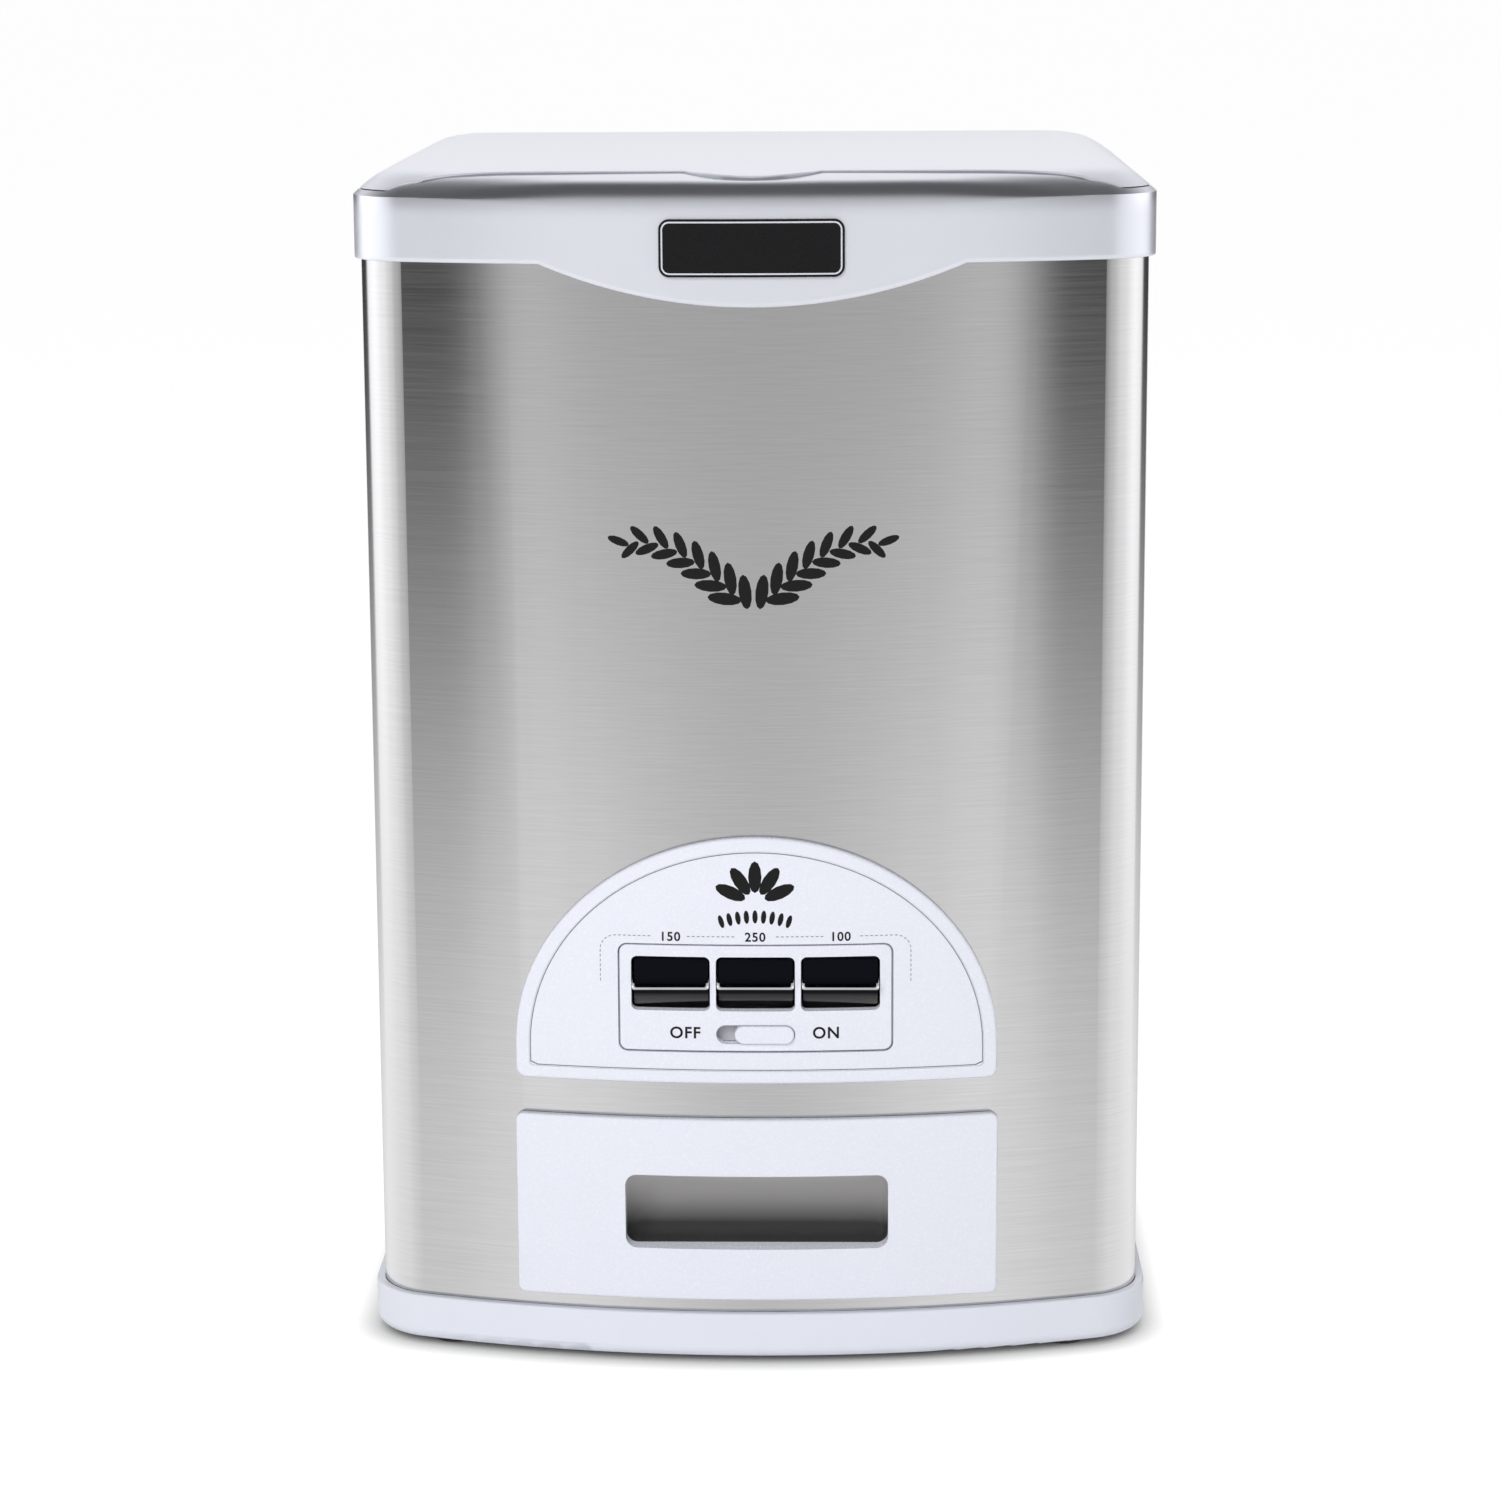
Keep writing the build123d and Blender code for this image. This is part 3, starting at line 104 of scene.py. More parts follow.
def feed(material, socket, node):
    """Link a node's first output to the surface shader."""
    material.node_tree.links.new(node.outputs[0], surface(material)[socket])


def grain(material, per_metre, detail=2.0):
    """Noise with so many waves per metre, the same along all axes or given for each."""
    if not isinstance(per_metre, tuple):
        per_metre = (per_metre,) * 3
    tree = material.node_tree
    place = shader(tree, "TexCoord")
    stretch = shader(tree, "Mapping", [("Vector", place.outputs["Object"]), ("Scale", per_metre)])
    return shader(tree, "TexNoise", [("Vector", stretch), ("Scale", 1.0), ("Detail", detail)])


def colour_by(material, value, dark, light, low=NOISE_LOW, high=NOISE_HIGH):
    """Base colour that runs from dark to light with a value."""
    ramp = shader(material.node_tree, "ValToRGB", [("Fac", value)])
    first, last = ramp.color_ramp.elements
    first.position, last.position = low, high
    first.color, last.color = dark, light
    feed(material, "Base Color", ramp)


def rough_by(material, value, smooth, rough):
    """Roughness that runs between two values."""
    feed(material, "Roughness", ranged(material.node_tree, value, NOISE_LOW, NOISE_HIGH, smooth, rough))


def relief_by(material, value, strength, height=0.0001):
    """Fine relief, its height in metres."""
    feed(material, "Normal", shader(material.node_tree, "Bump", [
        ("Height", value), ("Strength", strength), ("Distance", height)]))


def wear(material, *nodes):
    """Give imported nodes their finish."""
    for node in nodes:
        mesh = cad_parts[node].data
        mesh.materials.clear()
        mesh.materials.append(material)


rubber = finish("foot_rubber")
colour_by(rubber, grain(rubber, 90, detail=4), RUBBER_DARK, RUBBER_WORN)
rough_by(rubber, grain(rubber, 300), smooth=0.6, rough=0.85)
relief_by(rubber, grain(rubber, 2500), strength=0.3, height=0.0002)
wear(rubber, "feet")

# Base: a moulded tray that the casing stands in, with a rounded lower edge.
# Satin silver-white plastic, faintly pearled.
BASE_SHADE = (0.805, 0.83, 0.91, 1)
CLOUD_WAVES = 1600
GLOSS_WAVES = 1100
SKIN_WAVES = 700


def skin(material, smooth, rough, relief=0.004):
    """Uneven gloss and a shallow moulded skin."""
    rough_by(material, grain(material, GLOSS_WAVES), smooth, rough)
    relief_by(material, grain(material, SKIN_WAVES, detail=1), relief)


def moulded(name, shade, cloud, smooth, rough, relief=0.004):
    """Moulded plastic: a shade with clouds lighter by so much, under a moulded skin."""
    material = finish(name)
    light = [channel + cloud for channel in shade[:3]] + [1]
    colour_by(material, grain(material, CLOUD_WAVES, detail=3), shade, light, low=0.2, high=0.8)
    skin(material, smooth, rough, relief)
    return material


wear(moulded("base_plastic", BASE_SHADE, cloud=0.004, smooth=0.31, rough=0.33), "base_tray")

# Inside works: support frame, dosing block, levers, hopper and lock bar.
# Natural plastic mouldings, seen only through the open drawer bay and the filling mouth.
INNER_SHADE = (0.6, 0.61, 0.62, 1)
wear(moulded("inner_plastic", INNER_SHADE, cloud=0.08, smooth=0.4, rough=0.55, relief=0.1),
     "support_frame", "dosing_block", "hopper", "lock_bar",
     "dosing_lever_150", "dosing_lever_250", "dosing_lever_100")

# Shaft, clips, hinge pins and screws: bright zinc-plated steel.
# The plating shows a faint crystal mottle.
ZINC_SHADE = (0.42, 0.42, 0.43, 1)
ZINC_LIGHT = (0.6, 0.6, 0.6, 1)
zinc = finish("fastener_steel", metallic=1.0)
colour_by(zinc, grain(zinc, 400, detail=4), ZINC_SHADE, ZINC_LIGHT)
rough_by(zinc, grain(zinc, 900), smooth=0.22, rough=0.38)
relief_by(zinc, grain(zinc, 3000), strength=0.1)
wear(zinc, "lever_shaft", "shaft_clips", "hinge_pins", "base_screws", "block_screws", "hopper_screws",
     "fascia_screws", "drawer_screws", "collar_screws")

# Return springs: one under each key arm, standing on the floor of the dosing block.
# Coiled zinc-plated wire.
MM = 0.001
KEY_PITCH = 33.1
DOSES = (("150", -KEY_PITCH), ("250", 0.0), ("100", KEY_PITCH))
SPRING_TURNS = 8
TURN_PARTS = 18
WIRE_SIDES = 8
SPRING_RADIUS = 3.5
WIRE_RADIUS = 0.5
WELD = 1e-6


def node_tree(name, **kinds):
    """New Geometry Nodes tree with a finish and named sizes of each kind: the tree and its sizes."""
    tree = bpy.data.node_groups.new(name, "GeometryNodeTree")
    tree.interface.new_socket("Geometry", in_out="INPUT", socket_type="NodeSocketGeometry")
    for kind, labels in {**kinds, "Material": "Finish"}.items():
        for label in labels.split():
            tree.interface.new_socket(label, in_out="INPUT", socket_type="NodeSocket" + kind)
    tree.interface.new_socket("Geometry", in_out="OUTPUT", socket_type="NodeSocketGeometry")
    return tree, tree.nodes.new("NodeGroupInput").outputs


def dress(tree, size, shape):
    """End a tree: make the shape's instances real and give it the finish."""
    real = geo(tree, "RealizeInstances", [("Geometry", shape)])
    dressed = geo(tree, "SetMaterial", [("Geometry", real), ("Material", size["Finish"])])
    step(tree, "NodeGroupOutput", [("Geometry", dressed)])


def placed(name, data):
    """New object in the scene."""
    made = bpy.data.objects.new(name, data)
    bpy.context.scene.collection.objects.link(made)
    return made


def plain(holder, material):
    """Plain mesh of what an object shows, in its finish. The object is removed."""
    bpy.context.view_layer.update()
    mesh = bpy.data.meshes.new_from_object(holder.evaluated_get(bpy.context.evaluated_depsgraph_get()))
    mesh.name = holder.name
    bpy.data.objects.remove(holder)
    mesh.materials.clear()
    mesh.materials.append(material)
    return mesh


def grown(name, tree, material, values):
    """Run a Geometry Nodes tree with its sizes set and keep the result as a plain mesh."""
    seed = bpy.data.meshes.new(name + "_seed")
    seed.from_pydata([(0, 0, 0)], [], [])
    holder = placed(name, seed)
    modifier = holder.modifiers.new("grow", "NODES")
    modifier.node_group = tree
    sockets = {item.name: item.identifier for item in tree.interface.items_tree if item.in_out == "INPUT"}
    for label, value in {**values, "Finish": material}.items():
        modifier[sockets[label]] = value
    return plain(holder, material)


def settle(name, mesh, body, sharp=35):
    """Close a mesh, turn its faces outwards, smooth it and let it ride on a body."""
    work = bmesh.new()
    work.from_mesh(mesh)
    bmesh.ops.remove_doubles(work, verts=work.verts, dist=WELD)
    bmesh.ops.dissolve_degenerate(work, edges=work.edges, dist=WELD)
    bmesh.ops.recalc_face_normals(work, faces=work.faces)
    work.to_mesh(mesh)
    work.free()
    mesh.polygons.foreach_set("use_smooth", [True] * len(mesh.polygons))
    mesh.set_sharp_from_angle(angle=radians(sharp))
    made = placed(name, mesh)
    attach(made, body)
    return made


coil, size = node_tree("coil_spring", Float="Turns Radius Height Wire")
winding = geo(coil, "CurveSpiral", [
    ("Resolution", TURN_PARTS), ("Rotations", size["Turns"]), ("Start Radius", size["Radius"]),
    ("End Radius", size["Radius"]), ("Height", size["Height"])])
section = geo(coil, "CurvePrimitiveCircle", [("Resolution", WIRE_SIDES), ("Radius", size["Wire"])])
dress(coil, size, geo(coil, "CurveToMesh", [
    ("Curve", winding), ("Profile Curve", section), ("Fill Caps", True)]))
for dose, across in DOSES:
    low, high = (Vector(corner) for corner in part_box("key_spring_" + dose))
    tall = high.z - low.z
    wire = WIRE_RADIUS * MM
    wire_mesh = grown("return_spring_" + dose, coil, zinc, {
        "Turns": SPRING_TURNS, "Radius": SPRING_RADIUS * MM, "Height": tall - 2 * wire, "Wire": wire})
    wire_mesh.transform(Matrix.Translation(((low.x + high.x) / 2, (low.y + high.y) / 2, low.z + wire)))
    spring = settle("return_spring_" + dose, wire_mesh, "cabinet", sharp=60)
    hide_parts("key_spring_" + dose)
    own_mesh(spring)

# Steel wrap and rear sheet: thin stainless sheet, bent round the works and lapped at the back.
# Hairline brushing runs level round the casing, so it stretches reflections upright.
STEEL_SHADE = (0.614, 0.612, 0.622, 1)
STEEL_LIGHT = (0.664, 0.662, 0.672, 1)
steel = finish("brushed_steel", metallic=1.0)
surface(steel)["Anisotropic"].default_value = 0.45
surface(steel)["Anisotropic Rotation"].default_value = 0.25
feed(steel, "Tangent", shader(steel.node_tree, "Tangent", direction_type="RADIAL", axis="Z"))
hairline = grain(steel, (40, 40, 2000), detail=4)
colour_by(steel, hairline, STEEL_SHADE, STEEL_LIGHT, low=0.25, high=0.75)
rough_by(steel, grain(steel, (22, 22, 1500), detail=3), smooth=0.15, rough=0.18)
relief_by(steel, hairline, strength=0.03)
wear(steel, "steel_wrap", "rear_panel")

# Blind rivets that hold the rear sheet to the turned-in flanges, five on each side.
# Domed heads of bright aluminium with the sunk stub of the pulled pin in the middle.
ALUMINIUM_SHADE = (0.62, 0.62, 0.63, 1)
ALUMINIUM_LIGHT = (0.74, 0.74, 0.75, 1)
RIVET_RADIUS = 3.2
RIVET_SHANK = 1.6
RIVET_DOME = ((1.0, 0.25), (0.93, 0.55), (0.75, 0.85), (0.5, 1.0))
RIVET_RISE = 1.05
RIVET_SIDES = 24
PIN_RADIUS = 0.95
PIN_EDGE = 0.1
PIN_STUB = ((1.0, 0.95), (0.95, 0.45), (0.6, 0.52))
RIVET_SPREAD = 218.0
RIVET_FIRST = 38.9
RIVET_LAST = 422.85
RIVETS_IN_ROW = 5
CASING_BACK = 132.0


def worked(tree, kind, *values):
    """Number worked out from one or two others."""
    return shader(tree, "Math", enumerate(values), operation=kind)


def point(tree, x=0.0, y=0.0, z=0.0):
    """Place or size put together from its three parts."""
    return shader(tree, "CombineXYZ", enumerate((x, y, z)))


def repeat(tree, size, points, shape, turn, scale=(1, 1, 1)):
    """End a tree with a shape repeated on points."""
    dress(tree, size, geo(tree, "InstanceOnPoints", [
        ("Points", points), ("Instance", shape), ("Rotation", turn), ("Scale", scale)]))


def even(first, last, parts):
    """Evenly spaced values from first to last."""
    return [first + (last - first) * index / parts for index in range(parts + 1)]


def loft(rings, caps=True):
    """Faces between rings of equal count, with flat caps at the ends."""
    count = len(rings[0])
    faces = []
    for level in range(len(rings) - 1):
        low = level * count
        high = low + count
        for index in range(count):
            after = (index + 1) % count
            faces.append((low + index, low + after, high + after, high + index))
    if caps:
        top = (len(rings) - 1) * count
        faces.append(tuple(reversed(range(count))))
        faces.append(tuple(range(top, top + count)))
    return faces


def shell(name, corners, faces):
    """Mesh from corners in millimetres."""
    mesh = bpy.data.meshes.new(name)
    mesh.from_pydata([(x * MM, y * MM, z * MM) for x, y, z in corners], [], faces)
    return mesh


aluminium = finish("rivet_aluminium", metallic=1.0)
colour_by(aluminium, grain(aluminium, 700, detail=3), ALUMINIUM_SHADE, ALUMINIUM_LIGHT)
rough_by(aluminium, grain(aluminium, 1500), smooth=0.26, rough=0.42)
relief_by(aluminium, grain(aluminium, 2500), strength=0.15)
profile = [(RIVET_SHANK, -RIVET_SHANK), (RIVET_SHANK, 0), (RIVET_RADIUS, 0)]
profile += [(RIVET_RADIUS * share, height) for share, height in RIVET_DOME]
profile += [(PIN_RADIUS + PIN_EDGE, RIVET_RISE)]
profile += [(PIN_RADIUS * share, height) for share, height in PIN_STUB]
turns = even(0, 2 * pi, RIVET_SIDES)[:-1]
rings = [[(radius * cos(turn), radius * sin(turn), height) for turn in turns] for radius, height in profile]
rivet_head = shell("rivet_head", sum(rings, []), loft(rings))
row, size = node_tree("rivet_rows", Object="Head", Float="Spread First Last Back", Int="Count")
lines = geo(row, "JoinGeometry")
for side in (-0.5, 0.5):
    across = worked(row, "MULTIPLY", size["Spread"], side)
    low, high = (point(row, across, size["Back"], size[end]) for end in ("First", "Last"))
    line = geo(row, "MeshLine", [
        ("Count", size["Count"]), ("Start Location", low), ("Offset", high)], mode="END_POINTS")
    row.links.new(line.outputs["Mesh"], lines.inputs["Geometry"])
head = geo(row, "ObjectInfo", [("Object", size["Head"])])
repeat(row, size, lines, head.outputs["Geometry"], (-pi / 2, 0, 0))
rivet_mesh = grown("rear_rivet_heads", row, aluminium, {
    "Head": bpy.data.objects.new("rivet_head", rivet_head), "Count": RIVETS_IN_ROW, "Back": CASING_BACK * MM,
    "Spread": RIVET_SPREAD * MM, "First": RIVET_FIRST * MM, "Last": RIVET_LAST * MM})
rivets = settle("rear_rivet_heads", rivet_mesh, "cabinet")
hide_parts("rear_rivets")

# Printed spray on the front: two ears of grain that lean away from each other.
# Screen-printed black enamel, a hair thick, that follows the bow of the steel.
INK_SHADE = (0.008, 0.008, 0.009, 1)
BOW_RADIUS = 430.0
BOW_MID = 300.0
PRINT_THICKNESS = 0.06
SPRAY_ROOT = (2.5, 303.0)
SPRAY_BEND = (32.0, 333.0)
SPRAY_TIP = (48.0, 327.0)
GRAINS_IN_EAR = 15
STEM_PARTS = 24
GRAIN_SIDES = 20
GRAIN_RINGS = 6
GRAIN_LENGTH = 13.5
GRAIN_WIDTH = 5.0
GRAIN_LEAN = 38.0
TIP_SHARE = 0.62
ROOT_SHARE = 0.9
print_black = moulded("print_black", INK_SHADE, cloud=0.004, smooth=0.4, rough=0.5)
surface(print_black)["Specular IOR Level"].default_value = 0.2


def bow_front(across, grow):
    """How far forward the bowed front lies at this place across, grown outwards."""
    return BOW_MID - sqrt((BOW_RADIUS + grow) ** 2 - across ** 2)


def printed(name, mesh, grow, sharp=80):
    """Bend a flat print, drawn in x and z with its thickness towards the front, on to the bow."""
    for vertex in mesh.vertices:
        x, y, z = vertex.co / MM
        vertex.co = Vector((x, bow_front(x, grow) + y, z)) * MM
    return settle(name, mesh, "cabinet", sharp)


def facing(tree, points):
    """Turn that lays a shape along the path that its points come from."""
    return step(tree, "FunctionNodeAlignRotationToVector", [("Vector", points.outputs["Tangent"])],
                axis="X", pivot_axis="Y")


ears, size = node_tree("ear_of_grain", Vector="Root Bend Tip", Int="Count",
                       Float="Length Width Thickness Lean Taper")
stem = geo(ears, "CurveQuadraticBezier", [
    ("Start", size["Root"]), ("Middle", size["Bend"]), ("End", size["Tip"]), ("Resolution", STEM_PARTS)])
spaced = geo(ears, "CurveToPoints", [("Curve", stem), ("Count", size["Count"])], mode="COUNT")
order = geo(ears, "InputIndex")
parity = worked(ears, "MODULO", order, 2.0)
other_way = worked(ears, "MULTIPLY", size["Lean"], -1.0)
swing = ranged(ears, parity, bottom=other_way, top=size["Lean"])
fade = ranged(ears, order, high=size["Count"], bottom=1.0, top=size["Taper"])
seed = geo(ears, "MeshUVSphere", [("Segments", GRAIN_SIDES), ("Rings", GRAIN_RINGS)])
shape = point(ears, size["Length"], size["Thickness"], size["Width"])
pushed = geo(ears, "Transform", [("Geometry", seed), ("Translation", (ROOT_SHARE, 0, 0))])
formed = geo(ears, "Transform", [("Geometry", pushed), ("Scale", shape)])
lean = step(ears, "FunctionNodeAxisAngleToRotation", [("Angle", swing), ("Axis", (0, 1, 0))])
turned = step(ears, "FunctionNodeRotateRotation", [("Rotation", facing(ears, spaced)), ("Rotate By", lean)],
              rotation_space="LOCAL")
repeat(ears, size, spaced, formed, turned, fade)
for side, name in ((-1, "spray_left"), (1, "spray_right")):
    values = {"Count": GRAINS_IN_EAR, "Length": GRAIN_LENGTH / 2 * MM, "Width": GRAIN_WIDTH / 2 * MM,
              "Thickness": PRINT_THICKNESS * MM, "Lean": radians(GRAIN_LEAN * side), "Taper": TIP_SHARE}
    for label, (x, z) in (("Root", SPRAY_ROOT), ("Bend", SPRAY_BEND), ("Tip", SPRAY_TIP)):
        values[label] = (side * x * MM, 0, z * MM)
    printed(name, grown(name, ears, print_black, values), 0.0)

# Drawer: a bowed white front with a hand hole, screwed to a natural plastic tray.
# A grey liner, pressed in behind the hole, gives the fingers a smooth grip. Its colour is painted light and
# shade: near-black at the bottom of the hole, pale at the top.
PANEL_SHADE = (0.825, 0.845, 0.93, 1)
TRAY_SHADE = (0.7, 0.71, 0.72, 1)
POCKET_PAINTED_SHADE = (0.04, 0.039, 0.039, 1)
POCKET_PAINTED_LIGHT = (0.85, 0.83, 0.82, 1)
HOLE_WIDTH = 103.5
HOLE_HEIGHT = 30.0
HOLE_MID = 62.3
HOLE_CORNER = 4.6
CASING_FRONT = -130.0
POCKET_BACK = CASING_FRONT + 22.0
POCKET_FRONT = CASING_FRONT + 6.5
POCKET_ROUND = 9.0
LINER_WALL = 1.5
BOWL_STEPS = 8
panel_plastic = moulded("panel_plastic", PANEL_SHADE, cloud=0.004, smooth=0.26, rough=0.28)
wear(panel_plastic, "drawer_front")
wear(moulded("tray_plastic", TRAY_SHADE, cloud=0.06, smooth=0.35, rough=0.5), "drawer_tray")


def by_height(material, low, high, bottom=0.0, top=1.0, **traits):
    """Value that runs from bottom to top between two heights in millimetres."""
    tree = material.node_tree
    place = shader(tree, "TexCoord")
    axes = shader(tree, "SeparateXYZ", [(0, place.outputs["Object"])])
    return ranged(tree, axes.outputs["Z"], low * MM, high * MM, bottom, top, **traits)


def rounded_ring(width, height, corner, middle, depth, per_corner=6):
    """Rounded rectangle in x and z, at a depth along y."""
    ring = []
    for across, up, first in ((1, 1, 0), (-1, 1, 90), (-1, -1, 180), (1, -1, 270)):
        for angle in map(radians, even(first, first + 90, per_corner)):
            ring.append((across * (width / 2 - corner) + corner * cos(angle), depth,
                         middle + up * (height / 2 - corner) + corner * sin(angle)))
    return ring


def piece(name, corners, faces, material, body, sharp=35):
    """Mesh piece from corners in millimetres, in its finish."""
    mesh = shell(name, corners, faces)
    mesh.materials.append(material)
    return settle(name, mesh, body, sharp)


def lofted(name, rings, material, body, caps=True):
    """Piece lofted through rings of corners."""
    return piece(name, sum(rings, []), loft(rings, caps), material, body)


# Painted light and shade on the liner: its colour runs from near-black at the hole's bottom to pale at its
# top.
pocket_grey = finish("pocket_grey")
skin(pocket_grey, smooth=0.35, rough=0.5)
painted_light_by_height = by_height(pocket_grey, HOLE_MID - HOLE_HEIGHT / 2, HOLE_MID + HOLE_HEIGHT / 2)
colour_by(pocket_grey, painted_light_by_height, POCKET_PAINTED_SHADE, POCKET_PAINTED_LIGHT, low=0.12, high=0.85)
rings = [rounded_ring(HOLE_WIDTH + 2 * LINER_WALL, HOLE_HEIGHT + 2 * LINER_WALL, HOLE_CORNER + LINER_WALL,
                      HOLE_MID, depth) for depth in (POCKET_BACK + LINER_WALL, POCKET_FRONT)]
rings.append(rounded_ring(HOLE_WIDTH, HOLE_HEIGHT, HOLE_CORNER, HOLE_MID, POCKET_FRONT))
for turn in map(radians, even(0, 90, BOWL_STEPS)):
    inset = POCKET_ROUND * (1 - cos(turn))
    depth = POCKET_BACK - POCKET_ROUND * (1 - sin(turn))
    rings.append(rounded_ring(HOLE_WIDTH - 2 * inset, HOLE_HEIGHT - 2 * inset, HOLE_CORNER, HOLE_MID, depth))
lofted("hand_pocket", rings, pocket_grey, "drawer")

# Control fascia, printed face sheet, key bezel and lock knob: glossy white mouldings.
# They are clipped into the steel, and the fascia has a raised border round the sheet.
wear(panel_plastic, "fascia", "key_bezel", "lock_knob", "face_sheet")

# Printing on the sheet and bezel: dose numbers, switch words, grains, a dashed line and an edge line, the
# last being painted shade along the groove at the sheet's edge.
# Fine black and grey ink on the bowed plastic.
GREY_INK_AND_PAINTED_SHADE = (0.16, 0.16, 0.17, 1)
FACE_GROW = 3.65
BEZEL_GROW = 3.6
DOSE_HEIGHT = 173.9
DOSE_SIZE = 5.0
DOSE_WEIGHT = 0.1
SWITCH_ACROSS = 27.5
SWITCH_HEIGHT = 135.3
SWITCH_SIZE = 6.4
SWITCH_WEIGHT = 0.13
LETTER_SPACE = 1.12
print_grey = moulded("print_grey", GREY_INK_AND_PAINTED_SHADE, cloud=0.06, smooth=0.4, rough=0.55)


def lettering(name, words, across, height, letters, weight, grow):
    """Printed figures or a switch word, centred at a place on the bowed front."""
    curve = bpy.data.curves.new(name, "FONT")
    curve.body = words
    curve.size = letters * MM
    curve.offset = weight * MM
    curve.extrude = PRINT_THICKNESS * MM
    curve.align_x = curve.align_y = "CENTER"
    curve.space_character = LETTER_SPACE
    mesh = plain(placed(name, curve), print_black)
    for vertex in mesh.vertices:
        u, v, w = vertex.co
        vertex.co = (u + across * MM, -w, v + height * MM)
    printed(name, mesh, grow, sharp=30)


for dose, across in DOSES:
    lettering("dose_" + dose, dose, across, DOSE_HEIGHT, DOSE_SIZE, DOSE_WEIGHT, FACE_GROW)
for name, words, side in (("switch_off", "OFF", -1), ("switch_on", "ON", 1)):
    lettering(name, words, side * SWITCH_ACROSS, SWITCH_HEIGHT, SWITCH_SIZE, SWITCH_WEIGHT, BEZEL_GROW)

FAN_SIDES = 24
fan, size = node_tree("fan_of_grains", Int="Count", Vector="Heart",
                      Float="Spread Reach Length Width Thickness")
marks = geo(fan, "MeshLine", [
    ("Count", size["Count"]), ("Start Location", size["Heart"]), ("Offset", (0, 0, 0))])
order = geo(fan, "InputIndex")
last_mark = worked(fan, "SUBTRACT", size["Count"], 1.0)
other_way = worked(fan, "MULTIPLY", size["Spread"], -1.0)
bearing = ranged(fan, order, high=last_mark, bottom=other_way, top=size["Spread"])
seed = geo(fan, "MeshUVSphere", [("Segments", FAN_SIDES), ("Rings", GRAIN_RINGS)])
shape = point(fan, size["Width"], size["Thickness"], size["Length"])
lift = point(fan, z=size["Reach"])
formed = geo(fan, "Transform", [("Geometry", seed), ("Scale", shape), ("Translation", lift)])
spin = step(fan, "FunctionNodeAxisAngleToRotation", [("Angle", bearing), ("Axis", (0, 1, 0))])
repeat(fan, size, marks, formed, spin)
for name, count, spread, heart, reach, length, width in (
        ("grain_fan", 5, 66, 187.6, 10.4, 6.3, 2.6), ("grain_row", 9, 17, 137.2, 45.0, 2.7, 1.05)):
    printed(name, grown(name, fan, print_black, {
        "Count": count, "Spread": radians(spread), "Heart": (0, 0, heart * MM), "Reach": reach * MM,
        "Length": length * MM, "Width": width * MM, "Thickness": PRINT_THICKNESS * MM}), FACE_GROW)

DASH_HALF = 60.5
DASH_TOP = 174.2
DASH_DROP = 18.0
DASH_CORNER = 6.0
DASH_CORNER_PARTS = 8
DASH_LENGTH = 1.1
DASH_WIDTH = 0.32
DASH_PITCH = 1.9
LABEL_HALF = 6.4
LABEL_DROP = 0.7
dashes, size = node_tree("dashed_line", Float="Half Top Drop Corner Pitch", Vector="Dash")
bottom = worked(dashes, "SUBTRACT", size["Top"], size["Drop"])
left = worked(dashes, "MULTIPLY", size["Half"], -1.0)
bends = [point(dashes, x=across, z=up) for across, up in (
    (left, bottom), (left, size["Top"]), (size["Half"], size["Top"]), (size["Half"], bottom))]
runs = [geo(dashes, "CurvePrimitiveLine", [("Start", first), ("End", second)])
        for first, second in zip(bends, bends[1:])]
joined = geo(dashes, "JoinGeometry")
for run in reversed(runs):
    dashes.links.new(run.outputs["Curve"], joined.inputs["Geometry"])
edges = geo(dashes, "CurveToMesh", [("Curve", joined)])
welded = geo(dashes, "MergeByDistance", [("Geometry", edges), ("Distance", WELD)])
path = geo(dashes, "MeshToCurve", [("Mesh", welded)])
eased = geo(dashes, "FilletCurve", [
    ("Curve", path), ("Radius", size["Corner"]), ("Count", DASH_CORNER_PARTS)], mode="POLY")
spaced = geo(dashes, "CurveToPoints", [("Curve", eased), ("Length", size["Pitch"])], mode="LENGTH")
block = geo(dashes, "MeshCube", [("Size", size["Dash"])])
repeat(dashes, size, spaced, block, facing(dashes, spaced))
dash_mesh = grown("dashed_line", dashes, print_grey, {
    "Half": DASH_HALF * MM, "Top": DASH_TOP * MM, "Drop": DASH_DROP * MM, "Corner": DASH_CORNER * MM,
    "Dash": (DASH_LENGTH * MM, PRINT_THICKNESS * MM, DASH_WIDTH * MM), "Pitch": DASH_PITCH * MM})
work = bmesh.new()
work.from_mesh(dash_mesh)
hidden = [vertex for vertex in work.verts if vertex.co.z > (DASH_TOP - LABEL_DROP) * MM
          and min(abs(vertex.co.x / MM - across) for dose, across in DOSES) < LABEL_HALF]
for vertex in list(hidden):
    hidden += [edge.other_vert(vertex) for edge in vertex.link_edges]
bmesh.ops.delete(work, geom=list(set(hidden)), context="VERTS")
work.to_mesh(dash_mesh)
work.free()
printed("dashed_line", dash_mesh, FACE_GROW, sharp=30)

FASCIA_HALF = 94.5
FASCIA_STRAIGHT = 13.8
FASCIA_RISE = 84.8
FASCIA_FOOT = 1.2
FOOT_PARTS = 64
ARCH_PARTS = 96
LINE_INSET = 5.6
LINE_WIDTH = 0.36
PRINT_BED = 0.05
fascia_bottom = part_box("fascia")[0][2] / MM


def arch_ring(inset, depth):
    """D-shaped outline of the fascia, drawn in by an inset, at a depth along y."""
    half, low = FASCIA_HALF - inset, fascia_bottom + inset
    spring, rise = fascia_bottom + FASCIA_STRAIGHT, FASCIA_RISE - inset
    ring = [(across, depth, low) for across in even(-half, half, FOOT_PARTS)[1:-1]]
    ring.append((half, depth, low + FASCIA_FOOT))
    ring += [(half * cos(turn), depth, spring + rise * sin(turn))
             for turn in map(radians, even(0, 180, ARCH_PARTS))]
    return ring + [(-half, depth, low + FASCIA_FOOT)]


def on_bow(ring, grow):
    """Ring of corners laid on the bowed front."""
    return [(x, bow_front(x, grow) + y, z) for x, y, z in ring]


